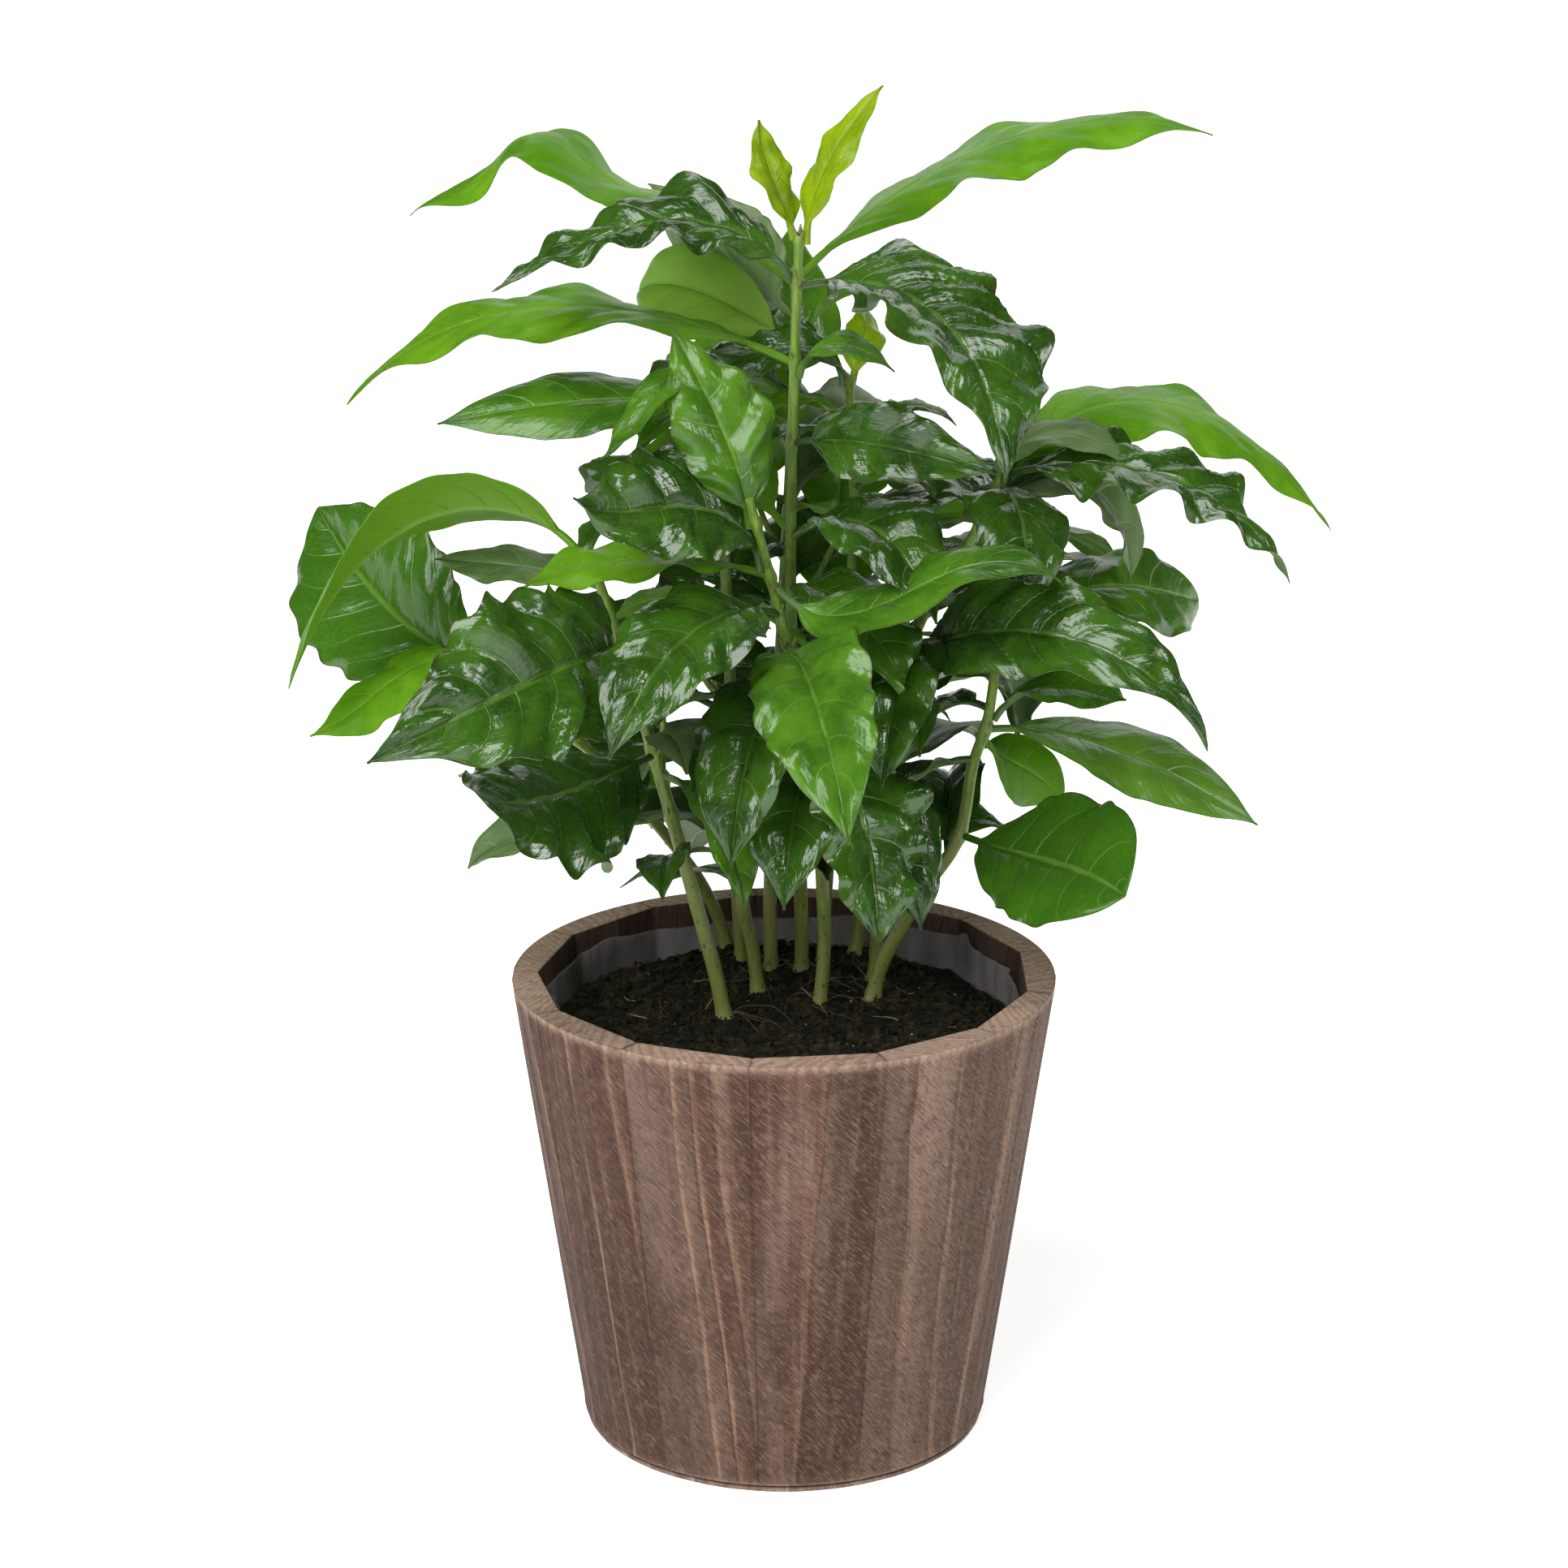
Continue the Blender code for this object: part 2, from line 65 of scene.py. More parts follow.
class Shell:
    """Collects the surfaces of one piece, then makes its mesh."""

    def __init__(self) -> None:
        """Start with nothing in it."""
        self.points: list[np.ndarray] = []
        self.places: list[np.ndarray] = []
        self.faces: list[list[int]] = []
        self.slots: list[int] = []
        self.marks: dict[str, list[np.ndarray]] = {}
        self.count = 0

    def add_points(self, points: np.ndarray, places: np.ndarray, marks: dict[str, np.ndarray]) -> int:
        """Add points with their map places.

        Args:
            points: one row of x, y, z for each point, in millimetres.
            places: one row of u, v for each point.
            marks: named numbers, one for each point.

        Returns:
            The number of the first point.
        """
        first = self.count
        self.points.append(points.reshape(-1, 3))
        self.places.append(places.reshape(-1, 2))
        for name, values in marks.items():
            self.marks.setdefault(name, []).append(np.ravel(values))
        self.count += len(self.points[-1])
        return first

    def add_faces(self, faces: list[list[int]], slot: int = 0) -> None:
        """Add faces that share one material slot."""
        self.faces.extend(faces)
        self.slots.extend([slot] * len(faces))

    def add_grid(
        self, first: int, rows: int, columns: int, slot: int = 0, flip: bool = False, loop: bool = False
    ) -> None:
        """Cover a grid of points with quads.

        Args:
            first: number of the grid's first point.
            rows: points along the grid.
            columns: points across the grid.
            slot: the material slot.
            flip: True turns the faces over.
            loop: True joins the last column to the first.
        """
        made = []
        for row in range(rows - 1):
            for column in range(columns if loop else columns - 1):
                a = first + row * columns + column
                b = first + row * columns + (column + 1) % columns
                quad = [a, b, b + columns, a + columns]
                made.append(quad[::-1] if flip else quad)
        self.add_faces(made, slot)

    def add_caps(self, first: int, rows: int, columns: int, flip: bool = False) -> None:
        """Close both ends of a looped grid, each with one face.

        Args:
            first: number of the grid's first point.
            rows: points along the grid.
            columns: points round it.
            flip: True turns the faces over.
        """
        last = first + (rows - 1) * columns
        ends = [list(range(first + columns - 1, first - 1, -1)), list(range(last, last + columns))]
        self.add_faces([end[::-1] if flip else end for end in ends])

    def make(self, name: str, materials: list[bpy.types.Material], crease: float = 50.0) -> bpy.types.Object:
        """Make the object from all that was added.

        Args:
            name: the object's name.
            materials: the materials, in slot order.
            crease: edges sharper than this many degrees stay crisp.

        Returns:
            The new object.
        """
        mesh = bpy.data.meshes.new(name)
        points = np.concatenate(self.points) * MM
        mesh.from_pydata(points.tolist(), [], self.faces)
        for material in materials:
            mesh.materials.append(material)
        mesh.polygons.foreach_set("material_index", np.array(self.slots, np.int32))
        corners = np.zeros(len(mesh.loops), np.int32)
        mesh.loops.foreach_get("vertex_index", corners)
        layer = mesh.uv_layers.new(name="surface")
        layer.uv.foreach_set("vector", np.concatenate(self.places)[corners].ravel())
        for mark, values in self.marks.items():
            data = mesh.attributes.new(mark, "FLOAT", "POINT").data
            data.foreach_set("value", np.concatenate(values).astype(np.float32))
        mesh.shade_smooth()
        mesh.set_sharp_from_angle(angle=math.radians(crease))
        piece = bpy.data.objects.new(name, mesh)
        bpy.context.scene.collection.objects.link(piece)
        return piece


def finish_piece(piece: bpy.types.Object, nodes: list[str]) -> bpy.types.Object:
    """Ride a piece on the plant's body and say what it stands for.

    Args:
        piece: the object.
        nodes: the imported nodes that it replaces.

    Returns:
        The same object.
    """
    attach(piece, BODY)
    if nodes:
        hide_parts(*nodes)
    log.info("%s: %d faces, stands for %s", piece.name, len(piece.data.polygons), nodes or "itself")
    return piece


def smoothstep(low: float, high: float, value: np.ndarray) -> np.ndarray:
    """Rise smoothly from 0 at low to 1 at high."""
    share = np.clip((value - low) / (high - low), 0.0, 1.0)
    return share * share * (3 - 2 * share)


def directions(slopes: np.ndarray, turns: np.ndarray) -> np.ndarray:
    """Unit vectors with slopes above level and turns round Z, both in radians."""
    return np.stack([np.cos(slopes) * np.cos(turns), np.cos(slopes) * np.sin(turns), np.sin(slopes)], -1)


# Materials


class Nodes:
    """A node tree, written one node at a time."""

    def __init__(self, tree: bpy.types.NodeTree) -> None:
        """Write in a tree that is already there."""
        self.tree = tree

    def add(self, kind: str, inputs: dict | None = None, **settings: str | bool) -> bpy.types.Node:
        """Add a node.

        Args:
            kind: the node's type, without its ShaderNode prefix.
            inputs: values or output sockets for its inputs, by name or number.
            settings: properties of the node.

        Returns:
            The new node.
        """
        node = self.tree.nodes.new("ShaderNode" + kind)
        for name, value in settings.items():
            setattr(node, name, value)
        for name, value in (inputs or {}).items():
            self.feed(node.inputs[name], value)
        return node

    def feed(self, socket: Socket, value: Value | Tint) -> None:
        """Link an output to an input, or set the input to a number, a vector or a colour.

        Args:
            socket: the input.
            value: the output to link, or what to set.
        """
        if isinstance(value, Socket):
            self.tree.links.new(value, socket)
        elif socket.type == "RGBA":
            socket.default_value = (*value, 1.0)
        else:
            socket.default_value = value

    def math(self, operation: str, first: Value, second: Value = 0.0) -> Socket:
        """Work one sum on numbers."""
        return self.add("Math", {0: first, 1: second}, operation=operation).outputs[0]

    def times(self, first: Value, second: Value) -> Socket:
        """Multiply two numbers."""
        return self.math("MULTIPLY", first, second)

    def above(self, value: Value) -> Socket:
        """A number where it is over 0, and 0 elsewhere."""
        return self.math("MAXIMUM", value, 0.0)

    def below(self, value: Value) -> Socket:
        """How far a number is under 0, and 0 elsewhere."""
        return self.math("MAXIMUM", self.times(value, -1.0), 0.0)

    def between(self, value: Value, low: float, high: float, start: float = 0.0, end: float = 1.0) -> Socket:
        """Smoothly map a number from low..high to start..end."""
        inputs = {"Value": value, "From Min": low, "From Max": high, "To Min": start, "To Max": end}
        return self.add("MapRange", inputs, interpolation_type="SMOOTHSTEP").outputs["Result"]


class Shader(Nodes):
    """A material's node tree."""

    def __init__(self, name: str) -> None:
        """Start a material that holds only its Principled BSDF.

        Args:
            name: the material's name.
        """
        self.material = bpy.data.materials.new(name)
        self.material.use_nodes = True
        super().__init__(self.material.node_tree)
        self.surface = self.tree.nodes["Principled BSDF"]

    def blend(self, share: Value, first: Tint, second: Tint) -> Socket:
        """Mix two colours.

        Args:
            share: the second colour's share, from 0 to 1.
            first: the first colour.
            second: the second colour.

        Returns:
            The mixed colour.
        """
        node = self.add("Mix", data_type="RGBA")
        for number, value in ((0, share), (6, first), (7, second)):
            self.feed(node.inputs[number], value)
        return node.outputs[2]

    def wash(self, body: Tint, colour: Tint, value: Value, low: float, high: float, most: float) -> Socket:
        """Lay a colour over another where a number goes from low to high.

        Args:
            body: the colour underneath.
            colour: the colour on top.
            value: the number to go by.
            low: where the top colour starts to show.
            high: where it is at its strongest.
            most: its share there.

        Returns:
            The mixed colour.
        """
        return self.blend(self.between(value, low, high, 0.0, most), body, colour)

    def noise(self, where: Socket, scale: float, detail: float = 2.0, rough: float = 0.5) -> Socket:
        """A noise value from 0 to 1."""
        inputs = {"Vector": where, "Scale": scale, "Detail": detail, "Roughness": rough}
        return self.add("TexNoise", inputs).outputs["Fac"]

    def stretch(self, where: Socket, scale: Point, turn: float = 0.0) -> Socket:
        """Turn a place round Z by some degrees, then scale it."""
        turned = self.add("Mapping", {"Vector": where, "Rotation": (0.0, 0.0, math.radians(turn))})
        return self.add("Mapping", {"Vector": turned.outputs[0], "Scale": scale}).outputs[0]

    def here(self) -> Socket:
        """The place on the object, in metres."""
        return self.add("TexCoord").outputs["Object"]

    def height(self) -> Socket:
        """The height above the floor, in metres."""
        return self.add("SeparateXYZ", {0: self.here()}).outputs[2]

    def mapped(self) -> Socket:
        """The place on the piece's own map."""
        return self.add("UVMap", uv_map="surface").outputs[0]

    def mark(self, name: str) -> Socket:
        """A number that the mesh holds at each point."""
        return self.add("Attribute", attribute_name=name).outputs["Fac"]

    def bump(self, heights: list[tuple[Socket, float]]) -> Socket:
        """Stack bumps.

        Args:
            heights: for each bump its height from 0 to 1 and its size in millimetres.

        Returns:
            The normal.
        """
        normal = None
        for height, size in heights:
            node = self.add("Bump", {"Height": height, "Distance": size * MM, "Strength": 1.0})
            if normal is not None:
                self.feed(node.inputs["Normal"], normal)
            normal = node.outputs["Normal"]
        return normal

    def dress(self, **values: Value | Tint) -> None:
        """Set the Principled BSDF's inputs, with _ for a space in their names."""
        for name, value in values.items():
            self.feed(self.surface.inputs[name.replace("_", " ")], value)

    def let_light_through(self, colour: Colour, share: float) -> None:
        """Mix in a Translucent BSDF for light that shines through from behind.

        Args:
            colour: the colour of that light.
            share: the Translucent BSDF's share.
        """
        through = self.add("BsdfTranslucent", {"Color": colour})
        mix = self.add("MixShader", {0: share, 1: self.surface.outputs[0], 2: through.outputs[0]})
        self.feed(self.tree.nodes["Material Output"].inputs["Surface"], mix.outputs[0])


@dataclass(frozen=True)
class Finish:
    """A finish that has one material."""

    name: str

    def make(self) -> bpy.types.Material:
        """Make the material."""
        raise NotImplementedError

    def material(self) -> bpy.types.Material:
        """The finish's material, made the first time that it is asked for."""
        return bpy.data.materials.get(self.name) or self.make()


@dataclass(frozen=True)
class LeafFinish:
    """Colours and gloss of one kind of leaf, on both its faces."""

    name: str
    top: Colour
    deep: Colour
    vein: Colour
    under: Colour
    under_vein: Colour
    through: Colour
    roughness: float
    under_roughness: float
    glow: float
    wrinkle: float
    vein_show: float
    shine: float = 0.5
    edge: Colour = (0.05, 0.035, 0.012)

    def leaf_map(self, shader: Shader) -> tuple[Socket, Socket, Socket]:
        """Read the leaf's map and draw its veins.

        Args:
            shader: the material's tree.

        Returns:
            How far out from the midrib, the phase of the side veins, and the line of all veins.
        """
        split = shader.add("SeparateXYZ", {0: shader.mapped()})
        across = shader.math("SUBTRACT", shader.times(split.outputs[1], 2.0), 1.0)
        out = shader.math("ABSOLUTE", across)
        phase = shader.mark("vein")
        near = shader.math("ABSOLUTE", shader.math("SUBTRACT", shader.math("FRACT", phase), 0.5))
        side = shader.times(shader.between(near, 0.465, 0.5), shader.between(out, 0.3, 0.98, 1.0, 0.25))
        rib = shader.between(out, 0.022, 0.06, 1.0, 0.0)
        return out, phase, shader.math("MAXIMUM", side, rib)

    def shaded(self, shader: Shader, body: Socket, light: Colour, dark: Colour) -> Socket:
        """Make each leaf a little lighter or darker than the next, by the mark that it holds.

        Args:
            shader: the material's tree.
            body: the leaf's colour.
            light: what a leaf with a mark of 1 turns to.
            dark: what a leaf with a mark of -1 turns to.

        Returns:
            The leaf's colour: its own tone on most leaves, with painted light on a few.
        """
        # The mark is each leaf's own tone, and on a few leaves painted light: a painted glow or sheen.
        tone_and_painted_light = shader.mark("tone_and_painted_light")
        body = shader.blend(shader.above(tone_and_painted_light), body, light)
        return shader.blend(shader.below(tone_and_painted_light), body, dark)

    def make_top(self) -> bpy.types.Material:
        """Make the glossy upper face.

        Returns:
            The material.
        """
        shader = Shader(f"{self.name}_top")
        out, phase, lines = self.leaf_map(shader)
        place = shader.here()
        body = shader.wash(self.deep, self.top, shader.noise(place, 55.0, 4.0, 0.6), 0.38, 0.62, 1.0)
        body = self.shaded(shader, body, self.vein, self.deep)
        body = shader.wash(body, self.vein, shader.noise(place, 900.0), 0.3, 0.7, 0.12)
        body = shader.blend(shader.times(lines, self.vein_show), body, self.vein)
        body = shader.wash(body, self.edge, out, 0.955, 0.99, 0.6)
        furrow = shader.add("CombineXYZ", {0: shader.times(out, 3.0), 1: shader.times(phase, 5.0)})
        furrows = shader.noise(furrow.outputs[0], 1.0, 3.0)
        rung = shader.add("CombineXYZ", {0: shader.times(out, 7.0), 1: phase})
        rungs = shader.noise(rung.outputs[0], 1.4)
        grain = shader.noise(place, 700.0)
        normal = shader.bump([
            (furrows, 0.2 * self.wrinkle), (rungs, 0.12 * self.wrinkle), (grain, 0.012), (lines, -0.14),
        ])
        film = shader.noise(place, 120.0)
        gloss = shader.between(film, 0.3, 0.7, self.roughness - 0.03, self.roughness + 0.05)
        shader.dress(Base_Color=body, Roughness=gloss, Normal=normal, Specular_IOR_Level=self.shine)
        shader.let_light_through(self.through, self.glow)
        return shader.material

    def make_under(self) -> bpy.types.Material:
        """Make the paler, duller lower face, with its raised veins.

        Returns:
            The material.
        """
        shader = Shader(f"{self.name}_under")
        lines = self.leaf_map(shader)[2]
        place = shader.here()
        body = shader.wash(self.under, self.top, shader.noise(place, 60.0, 3.0), 0.3, 0.7, 0.35)
        body = self.shaded(shader, body, self.under_vein, self.top)
        body = shader.blend(shader.times(lines, 0.75), body, self.under_vein)
        normal = shader.bump([(shader.noise(place, 500.0, 3.0), 0.12), (lines, 0.3)])
        shader.dress(Base_Color=body, Roughness=self.under_roughness, Normal=normal, Specular_IOR_Level=0.4)
        shader.let_light_through(self.through, self.glow)
        return shader.material

    def materials(self) -> list[bpy.types.Material]:
        """The upper and the lower face's materials, made once."""
        made = [bpy.data.materials.get(f"{self.name}_{face}") for face in ("top", "under")]
        return made if all(made) else [self.make_top(), self.make_under()]


class Tone(Enum):
    """The kinds of leaf in the clump, by colour and gloss."""

    DARK = LeafFinish(
        "leaf_dark", top=(0.032, 0.1, 0.005), deep=(0.011, 0.043, 0.002), vein=(0.12, 0.24, 0.035),
        under=(0.085, 0.15, 0.05), under_vein=(0.17, 0.26, 0.08), through=(0.12, 0.36, 0.01),
        roughness=0.17, under_roughness=0.5, glow=0.1, wrinkle=1.6, vein_show=0.45, shine=0.7,
    )
    MID = LeafFinish(
        "leaf_mid", top=(0.075, 0.2, 0.009), deep=(0.032, 0.11, 0.005), vein=(0.18, 0.34, 0.05),
        under=(0.1, 0.19, 0.045), under_vein=(0.2, 0.33, 0.09), through=(0.2, 0.5, 0.01),
        roughness=0.19, under_roughness=0.5, glow=0.2, wrinkle=1.1, vein_show=0.5, shine=0.55,
    )
    BRIGHT = LeafFinish(
        "leaf_bright", top=(0.15, 0.34, 0.012), deep=(0.085, 0.23, 0.007), vein=(0.24, 0.42, 0.06),
        under=(0.14, 0.25, 0.025), under_vein=(0.21, 0.34, 0.06), through=(0.3, 0.6, 0.01),
        roughness=0.26, under_roughness=0.5, glow=0.38, wrinkle=0.5, vein_show=0.45, shine=0.08,
        edge=(0.09, 0.16, 0.02),
    )
    DULL = LeafFinish(
        "leaf_dull", top=(0.1, 0.165, 0.05), deep=(0.06, 0.11, 0.028), vein=(0.19, 0.29, 0.11),
        under=(0.11, 0.17, 0.06), under_vein=(0.22, 0.31, 0.13), through=(0.14, 0.32, 0.03),
        roughness=0.42, under_roughness=0.55, glow=0.15, wrinkle=0.6, vein_show=0.6, shine=0.35,
    )
    YOUNG = LeafFinish(
        "leaf_young", top=(0.3, 0.43, 0.005), deep=(0.17, 0.28, 0.003), vein=(0.44, 0.54, 0.05),
        under=(0.22, 0.32, 0.01), under_vein=(0.36, 0.46, 0.05), through=(0.42, 0.62, 0.006),
        roughness=0.18, under_roughness=0.4, glow=0.3, wrinkle=0.9, vein_show=0.4, shine=0.25,
        edge=(0.15, 0.22, 0.02),
    )


@dataclass(frozen=True)
class WoodFinish(Finish):
    """Brushed, dark-stained softwood, read from the growth rings that the staves hold.

    hollow is the deep side of a ring, body its middle, ridge the thin raised crest, and grey the
    weathered tone that some rings and streaks have. worn is the pale wood of the rubbed rim,
    scratch the bottom of a brush mark, pore that of a pore, shaded the wall inside the pot, and
    glue the line between two staves.
    """

    hollow: Colour
    body: Colour
    ridge: Colour
    grey: Colour
    worn: Colour
    scratch: Colour = (0.03, 0.014, 0.009)
    pore: Colour = (0.018, 0.009, 0.007)
    shaded: Colour = (0.035, 0.022, 0.018)
    glue: Colour = (0.02, 0.012, 0.01)
    roughness: float = 0.75

    def chance(self, shader: Shader, ring: Socket, offset: float) -> Socket:
        """Draw a number from 0 to 1 that is the same all over one ring of one stave.

        Args:
            shader: the material's tree.
            ring: the ring number, with its fraction.
            offset: a number under 1, to draw more than one.

        Returns:
            The number.
        """
        stave = shader.times(shader.mark("stave"), 31.7)
        seeded = shader.math("ADD", shader.math("ADD", shader.math("FLOOR", ring), stave), offset)
        return shader.add("TexWhiteNoise", {"W": seeded}, noise_dimensions="1D").outputs["Value"]

    def grown(self, shader: Shader, flat: Socket, fibre: Socket, ring: Socket, luck: Socket) -> Socket:
        """Colour the rings, some of them greyer or darker, with streaks along the fibres.

        Args:
            shader: the material's tree.
            flat: the place on the piece's map.
            fibre: the fibres' noise.
            ring: the ring number, with its fraction.
            luck: the number that makes some rings darker.

        Returns:
            The colour.
        """
        rise = shader.between(shader.math("FRACT", ring), 0.0, 0.7)
        body = shader.blend(shader.times(rise, 0.75), self.hollow, self.body)
        body = shader.wash(body, self.grey, self.chance(shader, ring, 0.0), 0.45, 0.85, 0.95)
        body = shader.wash(body, self.hollow, luck, 0.45, 0.05, 0.8)
        streak = shader.noise(shader.stretch(flat, (1.0, 0.1, 1.0)), 60.0, 3.0, 0.55)
        body = shader.wash(body, self.grey, streak, 0.5, 0.66, 0.85)
        body = shader.wash(body, self.hollow, streak, 0.52, 0.34, 0.85)
        body = shader.wash(body, self.ridge, fibre, 0.5, 0.75, 0.25)
        return shader.wash(body, self.hollow, fibre, 0.5, 0.28, 0.35)

    def stained(self, shader: Shader, body: Socket) -> Socket:
        """Stain the wood darker low down, and give each stave its own tone.

        Args:
            shader: the material's tree.
            body: the colour so far.

        Returns:
            The colour.
        """
        patches = shader.noise(shader.stretch(shader.here(), (1.0, 1.0, 0.6)), 38.0, 3.0, 0.55)
        low = shader.between(shader.height(), 0.11, 0.03, 0.15, 1.0)
        stain = shader.times(shader.between(patches, 0.4, 0.6, 0.4, 1.0), low)
        body = shader.blend(stain, body, self.hollow)
        tone = shader.mark("tone")
        body = shader.blend(shader.above(tone), body, self.grey)
        return shader.blend(shader.below(tone), body, self.hollow)

    def ridged(
        self, shader: Shader, body: Socket, fibre: Socket, ring: Socket, luck: Socket
    ) -> tuple[Socket, Socket]:
        """Draw each ring's pale crest, broken here and there, with the dark valley beside it.

        Args:
            shader: the material's tree.
            body: the colour so far.
            fibre: the fibres' noise.
            ring: the ring number, with its fraction.
            luck: the number that makes some crests stronger.

        Returns:
            The colour, and how strong the crest is.
        """
        share = shader.math("FRACT", ring)
        crest = shader.times(shader.between(share, 0.62, 0.9), shader.between(share, 0.91, 0.97, 1.0, 0.0))
        broken = shader.times(crest, shader.between(fibre, 0.35, 0.62, 0.25, 1.0))
        strong = shader.times(broken, shader.between(luck, 0.2, 0.9, 0.05, 0.75))
        body = shader.blend(strong, body, self.ridge)
        valley = shader.between(share, 0.0, 0.14, 1.0, 0.0)
        deep = shader.between(luck, 0.2, 0.8, 0.15, 0.8)
        return shader.blend(shader.times(valley, deep), body, self.hollow), strong

    def rubbed(self, shader: Shader, body: Socket, mottle: Socket) -> Socket:
        """Wear the rim pale to its end grain, paint shade on the wall inside the pot, and darken the joints.

        Args:
            shader: the material's tree.
            body: the colour so far.
            mottle: the noise of the small blotches.

        Returns:
            The colour.
        """
        worn = shader.mark("worn")
        wobble = shader.between(mottle, 0.3, 0.7, -0.35, 0.35)
        ends = shader.math("FRACT", shader.math("ADD", shader.mark("grain"), wobble))
        grain = shader.between(ends, 0.0, 0.85, 1.0, 0.0)
        pale = shader.blend(shader.times(grain, 0.5), self.worn, self.body)
        rub = shader.times(worn, shader.between(mottle, 0.35, 0.55, 0.6, 1.0))
        body = shader.blend(shader.above(rub), body, pale)
        # Painted shade: where the mark is below 0, on the wall inside the pot, it turns to the shaded colour.
        body = shader.blend(shader.below(worn), body, self.shaded)
        return shader.blend(shader.times(shader.mark("seam"), 0.75), body, self.glue)

    def make(self) -> bpy.types.Material:
        """Make the wood, from its rings up to its slanting brush marks.

        Returns:
            The material.
        """
        shader = Shader(self.name)
        place = shader.here()
        flat = shader.mapped()
        fibre = shader.noise(shader.stretch(flat, (1.0, 0.05, 1.0)), 420.0, 3.0, 0.6)
        ring = shader.math("ADD", shader.mark("ring"), shader.between(fibre, 0.3, 0.7, -0.05, 0.05))
        luck = self.chance(shader, ring, 0.37)
        body = self.stained(shader, self.grown(shader, flat, fibre, ring, luck))
        body, crest = self.ridged(shader, body, fibre, ring, luck)
        brushed = shader.noise(shader.stretch(flat, (1.0, 0.09, 1.0), -42.0), 2300.0, 3.0, 0.6)
        finer = shader.noise(shader.stretch(flat, (1.0, 0.07, 1.0), -48.0), 4200.0, 3.0, 0.65)
        pitted = shader.noise(shader.stretch(flat, (1.0, 0.4, 1.0), -30.0), 1900.0, 2.0, 0.7)
        patchy = shader.between(shader.noise(place, 45.0), 0.35, 0.65, 0.3, 1.0)
        mottle = shader.noise(place, 300.0, 6.0, 0.75)
        body = shader.wash(body, self.grey, mottle, 0.52, 0.66, 0.3)
        body = shader.wash(body, self.hollow, mottle, 0.48, 0.34, 0.5)
        pale = shader.times(shader.between(brushed, 0.52, 0.66, 0.0, 0.28), patchy)
        body = shader.blend(pale, body, self.ridge)
        body = shader.wash(body, self.worn, finer, 0.52, 0.66, 0.22)
        scored = shader.times(shader.between(brushed, 0.49, 0.4), shader.between(patchy, 0.3, 1.0, 0.7, 1.0))
        body = shader.blend(shader.times(scored, 0.5), body, self.scratch)
        body = shader.wash(body, self.scratch, finer, 0.46, 0.36, 0.35)
        body = shader.wash(body, self.pore, pitted, 0.36, 0.29, 0.8)
        body = self.rubbed(shader, body, mottle)
        between_pores = shader.between(pitted, 0.29, 0.36)
        normal = shader.bump([
            (crest, 0.15), (fibre, 0.15), (brushed, 0.14), (finer, 0.06), (between_pores, 0.12),
        ])
        shader.dress(Base_Color=body, Roughness=self.roughness, Normal=normal, Specular_IOR_Level=0.2)
        return shader.material


@dataclass(frozen=True)
class StemFinish(Finish):
    """Smooth olive green, browner and corky towards the soil, with small scars."""

    green: Colour
    olive: Colour
    cork: Colour
    scar: Colour
    roughness: float = 0.42

    def make(self) -> bpy.types.Material:
        """Make the bark.

        Returns:
            The material.
        """
        shader = Shader(self.name)
        place = shader.here()
        height = shader.height()
        along = shader.noise(shader.stretch(place, (1.0, 1.0, 0.15)), 900.0, 3.0, 0.6)
        body = shader.wash(self.olive, self.green, along, 0.35, 0.7, 1.0)
        uneven = shader.between(shader.noise(place, 60.0), 0.3, 0.7, -0.02, 0.02)
        body = shader.wash(body, self.cork, shader.math("ADD", height, uneven), 0.205, 0.12, 0.8)
        speckle = shader.noise(shader.stretch(place, (1.0, 1.0, 0.5)), 1100.0, 2.0, 0.7)
        scars = shader.between(speckle, 0.62, 0.7)
        often = shader.between(height, 0.26, 0.12, 0.15, 0.85)
        body = shader.blend(shader.times(scars, often), body, self.scar)
        normal = shader.bump([(along, 0.12), (scars, 0.1)])
        shader.dress(Base_Color=body, Roughness=self.roughness, Normal=normal)
        return shader.material


@dataclass(frozen=True)
class GroundFinish(Finish):
    """Moist peat, as a bed and as crumbs."""

    dark: Colour
    brown: Colour
    roughness: float

    def make(self) -> bpy.types.Material:
        """Make the soil.

        Returns:
            The material.
        """
        shader = Shader(self.name)
        place = shader.here()
        coarse = shader.noise(place, 260.0, 5.0, 0.65)
        fine = shader.noise(place, 1400.0, 4.0, 0.7)
        body = shader.wash(self.dark, self.brown, coarse, 0.42, 0.72, 0.8)
        body = shader.wash(body, self.brown, fine, 0.62, 0.8, 0.5)
        normal = shader.bump([(coarse, 1.2), (fine, 0.5)])
        shader.dress(Base_Color=body, Roughness=self.roughness, Normal=normal, Specular_IOR_Level=0.2)
        return shader.material


@dataclass(frozen=True)
class FilmFinish(Finish):
    """Thin clear film, greyed by its creases. cover is its opacity."""

    tint: Colour
    cover: float
    roughness: float = 0.12

    def make(self) -> bpy.types.Material:
        """Make the film.

        Returns:
            The material.
        """
        shader = Shader(self.name)
        creases = shader.noise(shader.stretch(shader.here(), (1.0, 1.0, 0.5)), 110.0)
        normal = shader.bump([(creases, 1.2)])
        shader.dress(Base_Color=self.tint, Roughness=self.roughness, Alpha=self.cover, Normal=normal)
        return shader.material


@dataclass(frozen=True)
class PlainFinish(Finish):
    """One colour with a fine grain, for small pieces."""

    colour: Colour
    roughness: float

    def make(self) -> bpy.types.Material:
        """Make the grain, as dark spots.

        Returns:
            The material.
        """
        shader = Shader(self.name)
        grain = shader.noise(shader.here(), 1500.0, 3.0, 0.6)
        red, green, blue = self.colour
        darker = (0.55 * red, 0.55 * green, 0.55 * blue)
        colour = shader.wash(darker, self.colour, grain, 0.3, 0.7, 1.0)
        shader.dress(Base_Color=colour, Roughness=self.roughness, Normal=shader.bump([(grain, 0.15)]))
        return shader.material


